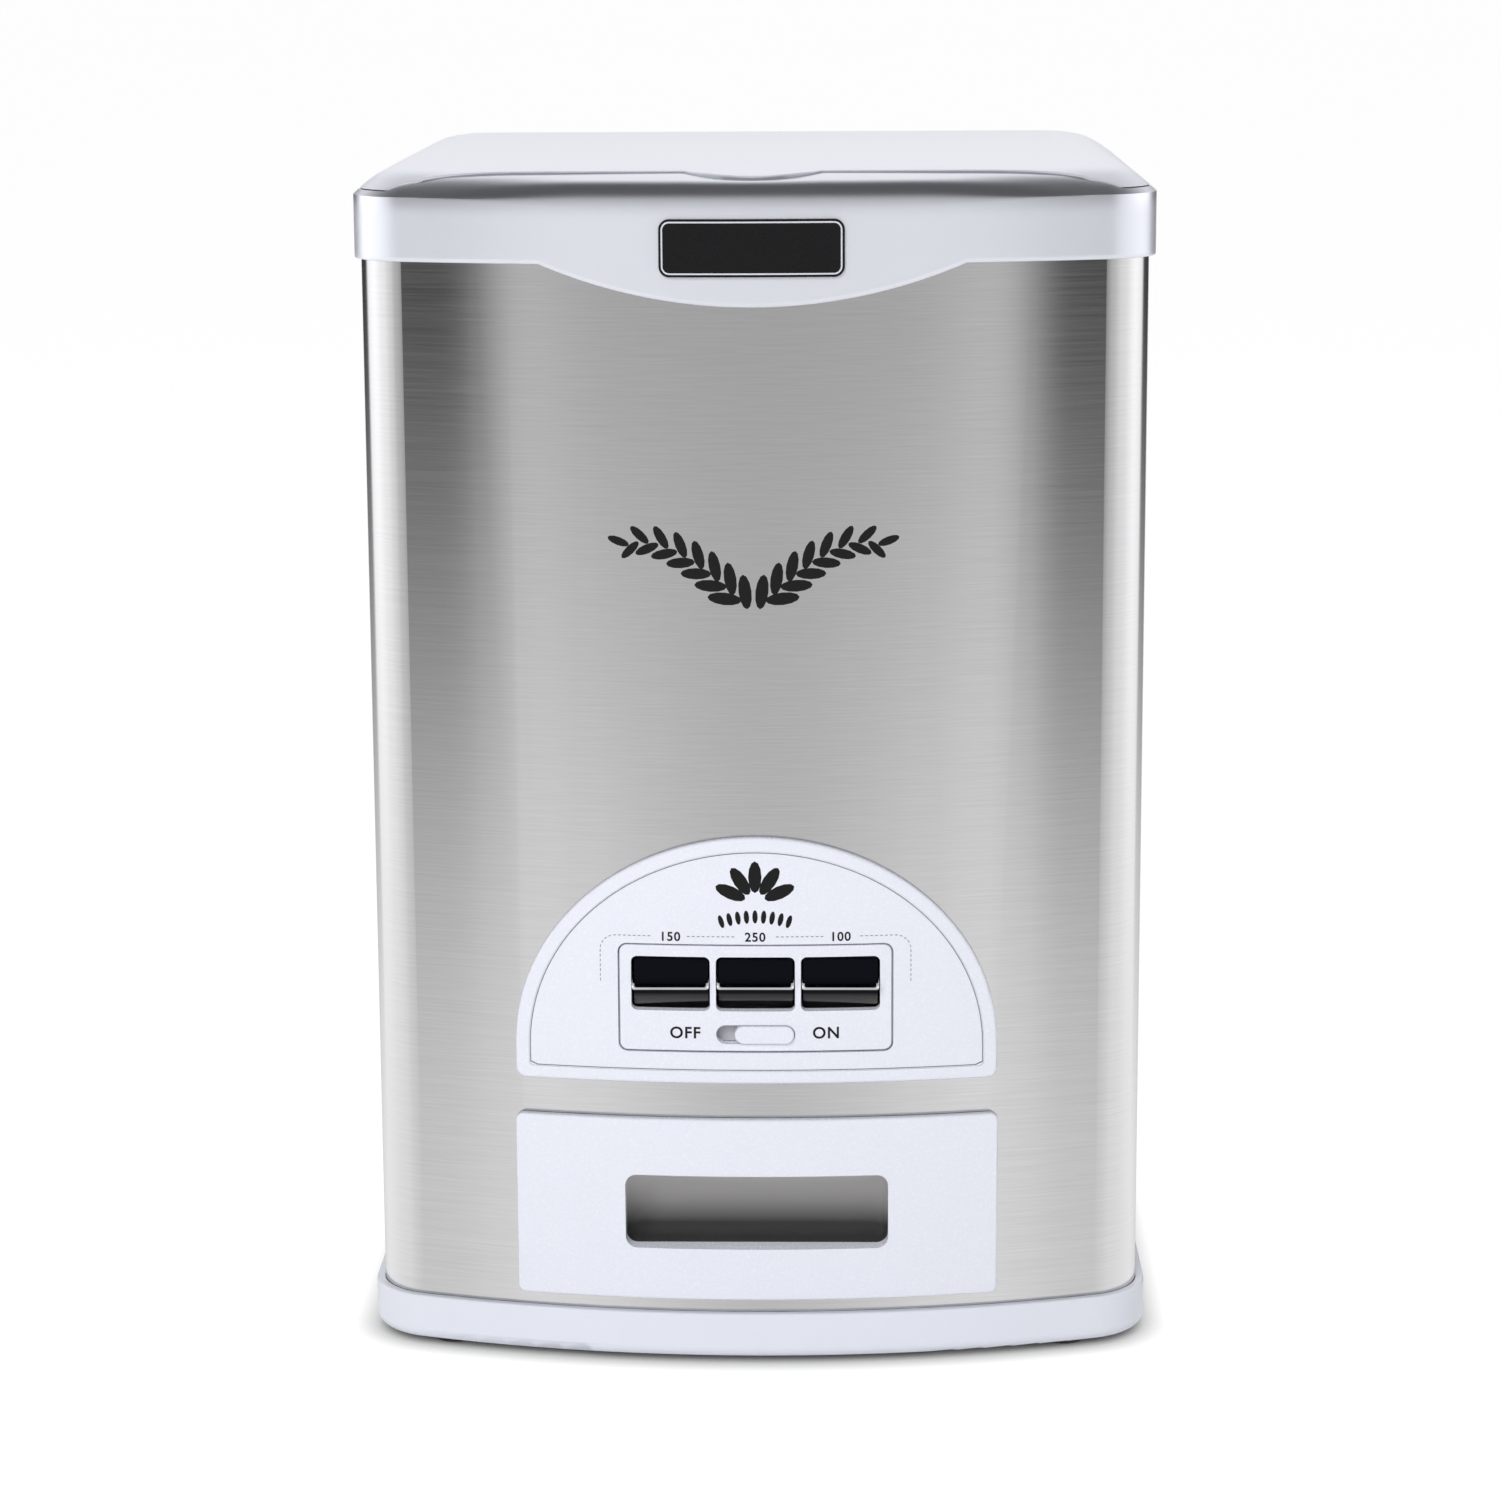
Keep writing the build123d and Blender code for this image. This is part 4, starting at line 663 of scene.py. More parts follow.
def line_section(outer, inner):
    """Insets and depths round the section of a printed line."""
    return ((outer, PRINT_BED), (outer, -PRINT_THICKNESS), (inner, -PRINT_THICKNESS), (inner, PRINT_BED),
            (outer, PRINT_BED))


# Painted shade: a thin grey line round the sheet's edge, where the groove under the raised border lies.
rings = [on_bow(arch_ring(inset, depth), FACE_GROW)
         for inset, depth in line_section(LINE_INSET, LINE_INSET + LINE_WIDTH)]
lofted("sheet_line", rings, print_grey, "cabinet", caps=False)

# Dosing keys: a curved smoked-chrome apron behind each window and a bright dished finger lip.
# Each rocks on the lever behind it. The apron's colour is painted reflection, grey-brown at its foot and
# near-black above.
APRON_PAINTED_REFLECTION_LOW = (0.2, 0.188, 0.178, 1)
APRON_PAINTED_REFLECTION_HIGH = (0.011, 0.0125, 0.018, 1)
SMOKE_BOTTOM = 145.8
SMOKE_TOP = 149.8
CHROME_SHADE = (0.86, 0.86, 0.87, 1)
CHROME_LIGHT = (0.92, 0.92, 0.93, 1)
KEY_AXIS_Y = -92.0
KEY_AXIS_Z = 152.0
KEY_HALF = 15.0
APRON_RADIUS = 34.0
APRON_WALL = 1.8
APRON_EDGE = 0.5
APRON_LOW = -14.5
APRON_HIGH = 37.0
APRON_PARTS = 24
LIP_FRONT = -135.5
LIP_BACK = -124.6
LIP_BOTTOM = 153.4
LIP_THICKNESS = 2.8
LIP_WALL = 1.2
LIP_FLOOR = 1.1
LIP_ENDS = ((0.3, LIP_FRONT), (0.08, LIP_FRONT + 0.12), (0, LIP_FRONT + 0.4), (0, LIP_BACK - 0.4),
            (0.3, LIP_BACK))
LIP_ROUND = 0.8
LIP_BEVEL = 0.25
LIP_EDGE = 0.2
BED_ROUND = 0.7
# Painted reflection on the dark chrome apron: grey-brown low down, as if mirroring the floor, near-black
# higher up.
smoked_painted_reflection = finish("smoked_chrome", metallic=1.0)
colour_by(smoked_painted_reflection, by_height(smoked_painted_reflection, SMOKE_BOTTOM, SMOKE_TOP), APRON_PAINTED_REFLECTION_LOW, APRON_PAINTED_REFLECTION_HIGH, low=0.0, high=1.0)
rough_by(smoked_painted_reflection, grain(smoked_painted_reflection, 300), smooth=0.08, rough=0.14)
chrome = finish("key_chrome", metallic=1.0)
colour_by(chrome, grain(chrome, 60), CHROME_SHADE, CHROME_LIGHT)
rough_by(chrome, grain(chrome, 500), smooth=0.05, rough=0.09)


def lip_section(inset):
    """Dished section of the finger lip in x and z, drawn in by an inset."""
    half, wall = KEY_HALF - inset, KEY_HALF - LIP_WALL + inset
    low, high = LIP_BOTTOM + inset, LIP_BOTTOM + LIP_THICKNESS - inset
    bed = LIP_BOTTOM + LIP_FLOOR - inset
    right = [(half - LIP_ROUND, low), (half - LIP_BEVEL, low + LIP_BEVEL), (half, low + LIP_ROUND),
             (half, high - LIP_EDGE), (half - LIP_EDGE, high), (wall + LIP_EDGE, high),
             (wall, high - LIP_EDGE), (wall, bed + BED_ROUND), (wall - LIP_EDGE, bed + LIP_EDGE),
             (wall - BED_ROUND, bed)]
    return right + [(-x, z) for x, z in reversed(right)]


apron_right = [(APRON_RADIUS - APRON_WALL, 0), (APRON_RADIUS - APRON_EDGE, 0), (APRON_RADIUS, APRON_EDGE)]
apron_section = [(radius, inset - KEY_HALF) for radius, inset in reversed(apron_right)]
apron_section += [(radius, KEY_HALF - inset) for radius, inset in apron_right]
for dose, middle in DOSES:
    rings = [[(middle + across, KEY_AXIS_Y - radius * cos(angle), KEY_AXIS_Z + radius * sin(angle))
              for radius, across in apron_section]
             for angle in map(radians, even(APRON_LOW, APRON_HIGH, APRON_PARTS))]
    apron = lofted("key_apron_" + dose, rings, smoked_painted_reflection, "key_" + dose)
    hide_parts("key_cap_" + dose)
    rings = [[(middle + x, y, z) for x, z in lip_section(inset)] for inset, y in LIP_ENDS]
    lofted("key_lip_" + dose, rings, chrome, "key_" + dose)

# Top collar: a skirt over the casing with a lens-shaped lobe in front, a rounded shoulder,
# a ledge with the lipped filling mouth and the hinge knuckles. Silver pearl paint over plastic.
SILVER_SHADE = (0.84, 0.858, 0.93, 1)
SKIRT_METAL = 0.5
ROLL_METAL = 0.96
METAL_BELOW = 5.0
METAL_ABOVE = 4.0
SIDE = 152.5
FRONT_CORNER = 26.0
FRONT_CORNER_X = 126.5
FRONT_CORNER_Y = BOW_MID - sqrt((BOW_RADIUS - FRONT_CORNER) ** 2 - FRONT_CORNER_X ** 2)
BACK_CORNER = 24.0
BACK_CORNER_X = 128.5
BACK_CORNER_Y = 108.0
BOW_END = degrees(asin(FRONT_CORNER_X / (BOW_RADIUS - FRONT_CORNER)))
BOW_STEP = 0.35
CORNER_PARTS = 24
SIDE_PARTS = 12
BACK_CORNER_PARTS = 18
BACK_PARTS = 10
LID_PROUD = 2.5
SKIRT_GAP = 0.25
SKIRT_EDGE = 0.5
SKIRT_BEVEL = 0.14
SKIRT_BOTTOM = 433.6
HOLD_LOW = 2.0
HOLD_HIGH = 3.0
LOBE_HALF = 81.0
LOBE_BOTTOM = 417.6
RIM = 458.0
APEX = 471.49
SHOULDER = 26.0
SHOULDER_BEND = 1.8
SHOULDER_EASE = 20.0
CROWN_MID = 100.0
CROWN_RADIUS = 5054.0
CROWN_BLEND = 3.0
PART_LINE = 460.0
SPLIT = -106.0
SPLIT_EDGE = 0.5
SPLIT_IN_SHARE = 0.5
SPLIT_DOWN_SHARE = 0.1
FRONT_FACING = -0.2
TAB_RADIUS = 29.175
TAB_MID = -91.825
TAB_GAP = 0.9
TAB_NOTCH = 26.2
TAB_FLOOR = 461.0
MOUTH_MID = 6.25
MOUTH_HALF_X = 118.0
MOUTH_HALF_Y = 90.25
MOUTH_CORNER = 20.0
MOUTH_LIP = 463.0
MOUTH_WALL = 2.0
MOUTH_ROUND = 0.4
TINY = 1e-9
FLANGE_BOTTOM = 457.0
RIB_OUTER = 1.45
RIB_INNER = 3.95
RIB_BOTTOM = 443.0
ROLL = 9.0
ROLL_START = 455.2
ROLL_RISE = 9.8
ROLL_TURN_SHARE = 0.768
ROLL_HALF = 60.0
ROLL_FADE = 68.0
STRIP_SINK = 0.9
STRIP_FADE = 10.0
STRIP_SHARES = (0, 0.002, 0.006, 0.012, 0.02, 0.03, 0.045, 0.065, 0.09, 0.12, 0.155, 0.195, 0.24, 0.29, 0.35,
                0.42, 0.5, 0.6, 0.7, 0.8, 0.9, 0.96)
HINGE_Y = 123.5
HINGE_Z = 464.8
HINGE_X = 75.0
BARREL = 4.0
BARREL_SIDES = 48
PIN_HOLE = 2.05
EAR_SHIFT = 14.4
EAR_LENGTH = 10.0
EAR_WEB = (-4.0, 4.0, -5.0, 0.001)
silver = moulded("lid_silver", SILVER_SHADE, cloud=0.008, smooth=0.31, rough=0.33)
feed(silver, "Metallic", by_height(silver, ROLL_START - METAL_BELOW, ROLL_START + METAL_ABOVE,
                                   SKIRT_METAL, ROLL_METAL, interpolation_type="SMOOTHSTEP"))


def arc(middle_x, middle_y, radius, angles):
    """Points and outward normals of an arc seen from above, by angles in degrees from the front."""
    return [(middle_x + radius * sin(turn), middle_y - radius * cos(turn), sin(turn), -cos(turn))
            for turn in map(radians, angles)]


def half_outline():
    """Right half of the casing seen from above: points and normals from mid front to mid back."""
    bow = [BOW_STEP * index for index in range(int(BOW_END / BOW_STEP) + 1)] + [BOW_END]
    bow.append(degrees(asin(LOBE_HALF / (BOW_RADIUS + LID_PROUD))))
    bow.append(degrees(atan2(TAB_NOTCH, BOW_MID - SPLIT)))
    half = arc(0, BOW_MID, BOW_RADIUS, sorted(set(bow)))
    half += arc(FRONT_CORNER_X, FRONT_CORNER_Y, FRONT_CORNER, even(BOW_END, 90, CORNER_PARTS)[1:])
    half += [(SIDE, y, 1, 0) for y in even(FRONT_CORNER_Y, BACK_CORNER_Y, SIDE_PARTS)[1:-1]]
    half += arc(BACK_CORNER_X, BACK_CORNER_Y, BACK_CORNER, even(90, 180, BACK_CORNER_PARTS))
    return half + [(x, CASING_BACK, 0, 1) for x in even(BACK_CORNER_X, 0, BACK_PARTS)[1:]]


def crown_top(y):
    """Height of the lid's gentle crown along its depth."""
    return APEX - (y - CROWN_MID) ** 2 / (2 * CROWN_RADIUS)


def shoulder_top(inset, y):
    """Height of the lid's skin at an inset from the rim: the shoulder eased into the crown."""
    if inset < SHOULDER_EASE:
        up = RIM + (APEX - RIM) * (1 - (1 - inset / SHOULDER) ** SHOULDER_BEND)
    else:
        left = 1 - SHOULDER_EASE / SHOULDER
        slope = (APEX - RIM) * SHOULDER_BEND / SHOULDER * left ** (SHOULDER_BEND - 1)
        up = RIM + (APEX - RIM) * (1 - left ** SHOULDER_BEND) + slope * (inset - SHOULDER_EASE)
    near = max(CROWN_BLEND - abs(up - crown_top(y)), 0) / CROWN_BLEND
    return min(up, crown_top(y)) - near * near * CROWN_BLEND / 4


def strip_top(inset, x, y):
    """Height of the front strip: a soft roll in the middle, the crisp shoulder towards its ends."""
    broad = shoulder_top(inset, y)
    share = 1 - min(max((abs(x) - ROLL_HALF) / ROLL_FADE, 0), 1)
    roll_end = ROLL * ROLL_TURN_SHARE
    rolled = ROLL_START + ROLL_RISE * sqrt(1 - (1 - min(inset, roll_end) / ROLL) ** 2)
    if inset > roll_end:
        run = (inset - roll_end) / (SPLIT - CASING_FRONT + LID_PROUD - roll_end)
        rolled += (crown_top(y) - rolled) * run * (2 - run)
    return broad + (rolled - broad) * share * share * (3 - 2 * share)


def mouth_point(x, y, grow):
    """Point of the filling mouth's outline, grown, on the way from its middle to a place."""
    across, along = abs(x), abs(y - MOUTH_MID)
    half_x, half_y, corner = MOUTH_HALF_X + grow, MOUTH_HALF_Y + grow, MOUTH_CORNER + grow
    share = min(half_x / max(across, TINY), half_y / max(along, TINY))
    u, v = across * share, along * share
    centre_x, centre_y = half_x - corner, half_y - corner
    if u > centre_x and v > centre_y:
        away = hypot(across, along)
        u, v = across / away, along / away
        on = u * centre_x + v * centre_y
        reach = on + sqrt(on * on - centre_x ** 2 - centre_y ** 2 + corner ** 2)
        u, v = u * reach, v * reach
    return (u if x >= 0 else -u), MOUTH_MID + (v if y >= MOUTH_MID else -v)


def lobe_edge(x, normal_y):
    """Height of the skirt's lower edge."""
    if normal_y > 0 or abs(x) >= LOBE_HALF:
        return SKIRT_BOTTOM
    radius = (LOBE_HALF ** 2 + (SKIRT_BOTTOM - LOBE_BOTTOM) ** 2) / (2 * (SKIRT_BOTTOM - LOBE_BOTTOM))
    return LOBE_BOTTOM + radius - sqrt(radius ** 2 - x ** 2)


def collar_section(x, y, nx, ny):
    """Closed section of the collar at one place: skirt, roll or shoulder, ledge, mouth lip and inner rib."""
    def out(grow, up):
        return (x + grow * nx, y + grow * ny, up)

    rim_x, rim_y, low = out(LID_PROUD, lobe_edge(x + LID_PROUD * nx, ny))
    to_split = (SPLIT - rim_y) / -ny if ny < FRONT_FACING else 0.0
    inset = max(to_split, ledge_inset)
    floor_up = PART_LINE
    notch = TAB_RADIUS + TAB_GAP
    if to_split > ledge_inset and abs(rim_x - to_split * nx) < sqrt(notch ** 2 - (SPLIT - TAB_MID) ** 2):
        floor_up = TAB_FLOOR
        on = rim_x * nx + (rim_y - TAB_MID) * ny
        away = rim_x ** 2 + (rim_y - TAB_MID) ** 2 - notch ** 2
        inset = min(to_split, on - sqrt(max(on * on - away, 0)))
    rim = strip_top(0, rim_x, rim_y)
    sink = STRIP_SINK * min(max(to_split - ledge_inset, 0) / STRIP_FADE, 1)
    section = [out(SKIRT_GAP, low), out(LID_PROUD - SKIRT_EDGE, low),
               out(LID_PROUD - SKIRT_BEVEL, low + SKIRT_BEVEL)]
    for up in (low + SKIRT_EDGE, low + HOLD_LOW, rim - HOLD_HIGH, rim - SKIRT_EDGE):
        section.append(out(LID_PROUD, up))
    for share in STRIP_SHARES:
        depth = share * inset
        up = strip_top(depth, rim_x, rim_y - depth * ny) - sink * share ** 3
        section.append(out(LID_PROUD - depth, up))
    edge_up = strip_top(inset, rim_x, rim_y - inset * ny) - sink
    drop = SPLIT_EDGE if inset > ledge_inset else 0.0
    edge = LID_PROUD - inset
    back = LID_PROUD - max(to_split, inset)
    section += [out(edge + drop * SPLIT_IN_SHARE, edge_up - drop * SPLIT_DOWN_SHARE),
                out(edge, edge_up - drop), out(edge, floor_up), out(back, floor_up), out(back, PART_LINE)]
    for grow, up in ((MOUTH_WALL, PART_LINE), (MOUTH_WALL, MOUTH_LIP - MOUTH_ROUND),
                     (MOUTH_WALL - MOUTH_ROUND, MOUTH_LIP), (MOUTH_ROUND, MOUTH_LIP),
                     (0, MOUTH_LIP - MOUTH_ROUND), (0, FLANGE_BOTTOM)):
        section.append((*mouth_point(rim_x, rim_y, grow), up))
    return section + [out(-RIB_INNER, FLANGE_BOTTOM), out(-RIB_INNER, RIB_BOTTOM),
                      out(-RIB_OUTER, RIB_BOTTOM), out(-RIB_OUTER, FLANGE_BOTTOM),
                      out(SKIRT_GAP, FLANGE_BOTTOM)]


def knuckle(middle, length, web, corners, faces):
    """Barrel of the hinge with its web, bored for the pin, added to a mesh."""
    back, front, bottom, top = web
    first = len(corners)
    for shift in (-length / 2, length / 2):
        for hollow in (False, True):
            for index in range(BARREL_SIDES):
                angle = 2 * pi * (index + 0.5) / BARREL_SIDES
                across, up = cos(angle), sin(angle)
                reach = PIN_HOLE
                if not hollow:
                    to_side = (front if across > 0 else back) / across
                    to_end = (top if up > 0 else bottom) / up
                    reach = max(BARREL, min(to_side, to_end))
                corners.append((middle + shift, HINGE_Y + reach * across, HINGE_Z + reach * up))
    for index in range(BARREL_SIDES):
        after = (index + 1) % BARREL_SIDES
        a, b, c, d = (first + ring * BARREL_SIDES for ring in range(4))
        faces.append((a + index, a + after, c + after, c + index))
        faces.append((b + after, b + index, d + index, d + after))
        faces.append((a + after, a + index, b + index, b + after))
        faces.append((c + index, c + after, d + after, d + index))


ledge_inset = SHOULDER * (1 - (1 - (PART_LINE - RIM) / (APEX - RIM)) ** (1 / SHOULDER_BEND))
half = half_outline()
outline = half + [(-x, y, -nx, ny) for x, y, nx, ny in reversed(half[1:-1])]
sections = [collar_section(*place) for place in outline]
corners = sum(sections, [])
faces = loft(sections + sections[:1], caps=False)
faces = [tuple(index % len(corners) for index in face) for face in faces]
for side in (-HINGE_X, HINGE_X):
    for way in (-EAR_SHIFT, EAR_SHIFT):
        knuckle(side + way, EAR_LENGTH, EAR_WEB, corners, faces)
collar = piece("lid_collar", corners, faces, silver, "cabinet", sharp=40)
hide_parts("top_collar")

# Lid flap: a hollow cover that carries the shoulder and crown on behind the split,
# with a half-moon finger tab in front and two hinge barrels behind.
FLAP_FRONT = -105.4
FLAP_BACK = 118.5
FLAP_BOTTOM = 460.4
FLAP_INSET = 2.7
FLAP_CORNER = 24.0
FLAP_CORNER_X = 131.0
FLAP_CORNER_Y = 94.5
FLAP_WALL = 3.2
FLAP_LIFT = 0.2
BACK_EDGE = 4.0
FRONT_EDGE = 0.5
TAB_THICKNESS = 2.6
TAB_BLEND = 20.0
TAB_SLACK = 0.01
UNDERCUT = 1.4
HOLLOW_FRONT = 2.5
HOLLOW_BACK = 5.0
HOLLOW_SIDE = 5.0
LID_BARREL = 18.0
LID_WEB = (-9.0, 0.001, -2.5, 2.5)
ROWS = (-105.4, -105.28, -105.1, -104.9, -104.4, -103, -101, -98, -94, -89, -84, -78, -70, -60, -48, -34,
        -18, 0, 18, 36, 52, 66, 78, 86, 92, 96, 100, 104, 107.5, 110.5, 113, 114.5, 115.4, 116.2, 117, 117.6,
        118.1, 118.4, 118.5)
FROM_SIDE = (0, 0.4, 1, 1.8, 2.8, 4, 5.5, 7, 9, 11, 13, 15, 17.5, 20, 23, 26, 30, 35, 42, 50, 60, 72, 85, 98,
             108)
FROM_MIDDLE = (0, 5, 10, 14, 17.5, 20, 22, 23.5, 24.7, 28, 31)
BEFORE_TAB_END = (0.35, 0.1, 0)


def lid_inset(x, y):
    """Distance of a place on the lid inwards from the rim."""
    across = abs(x)
    inset = min(SIDE + LID_PROUD - across, BOW_RADIUS + LID_PROUD - hypot(x, BOW_MID - y))
    if across > FRONT_CORNER_X and y < FRONT_CORNER_Y:
        inset = min(inset, FRONT_CORNER + LID_PROUD - hypot(across - FRONT_CORNER_X, y - FRONT_CORNER_Y))
    return inset


def flap_half(y):
    """Half width of the flap at a place along it."""
    if y < FRONT_CORNER_Y:
        radius = FRONT_CORNER + LID_PROUD - FLAP_INSET
        return FRONT_CORNER_X + sqrt(radius ** 2 - (y - FRONT_CORNER_Y) ** 2)
    wide = SIDE + LID_PROUD - FLAP_INSET
    if y > FLAP_CORNER_Y:
        wide = min(wide, FLAP_CORNER_X + sqrt(max(FLAP_CORNER ** 2 - (y - FLAP_CORNER_Y) ** 2, 0)))
    return wide


def tab_reach(x):
    """How far the finger tab stands in front of the flap here."""
    if abs(x) >= TAB_RADIUS:
        return 0.0
    return max(0.0, FLAP_FRONT - TAB_MID + sqrt(TAB_RADIUS ** 2 - x ** 2))


def flap_top(x, y, front=FRONT_EDGE):
    """Height of the flap's skin, with its back edge rounded, and its front edge where that is near."""
    up = shoulder_top(lid_inset(x, y), y)
    to_back = FLAP_BACK - y
    if abs(x) > FLAP_CORNER_X and y > FLAP_CORNER_Y:
        to_back = FLAP_CORNER - hypot(abs(x) - FLAP_CORNER_X, y - FLAP_CORNER_Y)
    for to_edge, radius in ((to_back, BACK_EDGE), (front, FRONT_EDGE)):
        if to_edge < radius:
            up -= radius - sqrt(max(radius ** 2 - (radius - max(to_edge, 0)) ** 2, 0))
    return max(up, FLAP_BOTTOM)


def sheet_faces(first):
    """Quads of one grid of the flap."""
    return [(first + row * wide + column, first + row * wide + column + 1,
             first + (row + 1) * wide + column + 1, first + (row + 1) * wide + column)
            for row in range(deep - 1) for column in range(wide - 1)]


tab_half = sqrt(TAB_RADIUS ** 2 - (FLAP_FRONT - TAB_MID) ** 2)
front_half = flap_half(FLAP_FRONT)
half_shares = sorted({1 - depth / front_half for depth in FROM_SIDE} | {x / front_half for x in FROM_MIDDLE}
                     | {(tab_half - before) / front_half for before in BEFORE_TAB_END})
shares = [-share for share in reversed(half_shares[1:])] + half_shares
wide, deep = len(shares), len(ROWS)
corners = []
for y in ROWS:
    fall = max(0.0, (FLAP_FRONT + TAB_BLEND - y) / TAB_BLEND)
    fall = fall * fall * (3 - 2 * fall)
    for share in shares:
        x = share * flap_half(y)
        reach = tab_reach(share * front_half) * fall
        corners.append((x, y - reach, flap_top(x, y - reach, y - FLAP_FRONT)))
inner_first = len(corners)
for y in ROWS:
    run = (y - FLAP_FRONT) / (FLAP_BACK - FLAP_FRONT)
    along = FLAP_FRONT + HOLLOW_FRONT + run * (FLAP_BACK - FLAP_FRONT - HOLLOW_FRONT - HOLLOW_BACK)
    for share in shares:
        x = share * (flap_half(along) - HOLLOW_SIDE)
        corners.append((x, along, max(flap_top(x, along) - FLAP_WALL, FLAP_BOTTOM + FLAP_LIFT)))
faces = sheet_faces(0) + [tuple(reversed(face)) for face in sheet_faces(inner_first)]
edge = list(range(wide)) + [row * wide + wide - 1 for row in range(1, deep)]
edge += [(deep - 1) * wide + column for column in reversed(range(wide - 1))]
edge += [row * wide for row in reversed(range(1, deep - 1))]
# From the outer edge to the hollow: under the edge, behind the undercut, on the bottom, at the hollow's foot.
loops = [edge]
for stage in range(4):
    loops.append([len(corners) + index for index in range(len(edge))])
    for place in edge:
        x, y, up = corners[place]
        in_front = place < wide
        back = UNDERCUT if in_front else 0.0
        under = up - TAB_THICKNESS
        if not in_front or abs(x) >= tab_half + TAB_SLACK:
            under = max(FLAP_BOTTOM, under)
        if stage == 3:
            x, y, up = corners[inner_first + place]
            corners.append((x, y, FLAP_BOTTOM))
        else:
            along = max(y, FLAP_FRONT) if stage else y
            corners.append((x, along + back, FLAP_BOTTOM if stage == 2 else under))
loops.append([inner_first + place for place in edge])
for lower, upper in zip(loops, loops[1:]):
    for index in range(len(edge)):
        after = (index + 1) % len(edge)
        faces.append((lower[index], lower[after], upper[after], upper[index]))
for side in (-HINGE_X, HINGE_X):
    knuckle(side, LID_BARREL, LID_WEB, corners, faces)
cover_silver = moulded("cover_silver", SILVER_SHADE, cloud=0.008, smooth=0.39, rough=0.41)
surface(cover_silver)["Metallic"].default_value = SKIRT_METAL
flap = piece("lid_cover", corners, faces, cover_silver, "lid", sharp=40)
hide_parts("lid_flap")

# Lid seal: a soft pale ring under the flap.
# Extruded silicone, cut and glued into the hollow.
SEAL_SHADE = (0.5, 0.5, 0.5, 1)
wear(moulded("seal_rubber", SEAL_SHADE, cloud=0.08, smooth=0.5, rough=0.7, relief=0.15), "lid_seal")

# Name plate: a bare black plate on the lobe with a thin bright border line.
# Glossy plastic badge stock, glued on.
PLATE_SHADE = (0.004, 0.004, 0.005, 1)
PLATE_MID = 440.0
PLATE_WIDTH = 70.0
PLATE_HEIGHT = 21.7
PLATE_CORNER = 4.0
PLATE_GROW = 3.8
BORDER_OUTER = 0.9
BORDER_INNER = 1.5
BORDER_CORNER_PARTS = 8
BORDER_PARTS = 16
plate_black = moulded("plate_black", PLATE_SHADE, cloud=0.004, smooth=0.12, rough=0.16)
surface(plate_black)["Specular IOR Level"].default_value = 0.25
wear(plate_black, "name_plate")
rings = []
for inset, depth in line_section(BORDER_OUTER, BORDER_INNER):
    ring = rounded_ring(PLATE_WIDTH - 2 * inset, PLATE_HEIGHT - 2 * inset, PLATE_CORNER - inset, PLATE_MID,
                        depth, BORDER_CORNER_PARTS)
    spread = []
    for (x, y, z), (after_x, _, after_z) in zip(ring, ring[1:] + ring[:1]):
        spread += [(x + (after_x - x) * part / BORDER_PARTS, y, z + (after_z - z) * part / BORDER_PARTS)
                   for part in range(BORDER_PARTS)]
    rings.append(on_bow(spread, PLATE_GROW))
lofted("plate_border", rings, silver, "cabinet", caps=False)

# Studio floor: a white sheet that keeps a soft contact shadow.
# Metal looks through it into the room below.
FLOOR_HALF = 40000.0
FLOOR_WHITE = (0.9, 0.9, 0.9, 1)
FLOOR_GLOW = 0.95
SHADOW_GREY = (0.13, 0.13, 0.13, 1)
CONTACT_REACH = 0.012
square = [(x * FLOOR_HALF, y * FLOOR_HALF, 0) for x, y in ((-1, -1), (1, -1), (1, 1), (-1, 1))]
floor = placed("floor", shell("floor", square, [(0, 1, 2, 3)]))
floor_white = finish("floor_white")
floor.data.materials.append(floor_white)
tree = floor_white.node_tree
tree.nodes.clear()
ray = shader(tree, "LightPath")
paint = shader(tree, "BsdfDiffuse", [("Color", FLOOR_WHITE)])
contact = shader(tree, "AmbientOcclusion", [("Distance", CONTACT_REACH)], samples=8)
glow = shader(tree, "Emission", [("Color", contact), ("Strength", FLOOR_GLOW)])
shadowed = shader(tree, "BsdfDiffuse", [("Color", SHADOW_GREY)])
seen = shader(tree, "AddShader", [(0, glow), (1, shadowed)])
clear = shader(tree, "BsdfTransparent")
by_camera = shader(tree, "MixShader", [("Fac", ray.outputs["Is Camera Ray"]), (1, paint), (2, seen)])
by_gloss = shader(tree, "MixShader", [
    ("Fac", ray.outputs["Is Glossy Ray"]), (1, by_camera), (2, clear)])
shader(tree, "OutputMaterial", [("Surface", by_gloss)])

# The room that the metal mirrors: tall panels left and right with dark gaps, a grey front,
# a dark front ceiling and white behind. The stops are pairs of an angle in degrees and a brightness.
WHITE = (1, 1, 1, 1)
WALL_STOPS = ((-180, 1.0), (-168, 1.0), (-158, 0.04), (-132, 0.04), (-122, 1.4), (-104, 1.6), (-80, 1.3),
              (-64, 0.95), (-54, 0.6), (-46, 0.16), (-41, 0.0), (-36, 0.0), (-29, 0.66), (-18, 0.52),
              (0, 0.52), (16, 0.52), (28, 0.68), (35, 0.0), (43, 0.02), (54, 0.7), (72, 1.05), (104, 1.5),
              (122, 1.3), (132, 0.04), (158, 0.04), (168, 1.0), (180, 1.0))
LOW_STOPS = ((-180, 0.7), (-125, 1.2), (-70, 1.1), (-44, 0.95), (-26, 1.15), (0, 0.82),
             (26, 1.15), (40, 0.95), (70, 1.1), (125, 1.2), (180, 0.7))
DEEP_STOPS = ((-180, 0.5), (-120, 0.7), (-60, 0.7), (0, 0.5), (60, 0.7), (120, 0.7), (180, 0.5))
CEILING_STOPS = ((-180, 0.6), (0, 0.52), (18, 0.5), (32, 0.4), (48, 0.05), (108, 0.05), (128, 0.5),
                 (150, 0.96), (170, 1.2), (180, 1.2))
DEEP_BAND = (-36, -16)
LOW_BAND = (-18, -4)
CEILING_BAND = (10, 26)
world = bpy.data.worlds.new("studio")
bpy.context.scene.world = world
world.use_nodes = True
tree = world.node_tree
tree.nodes.clear()


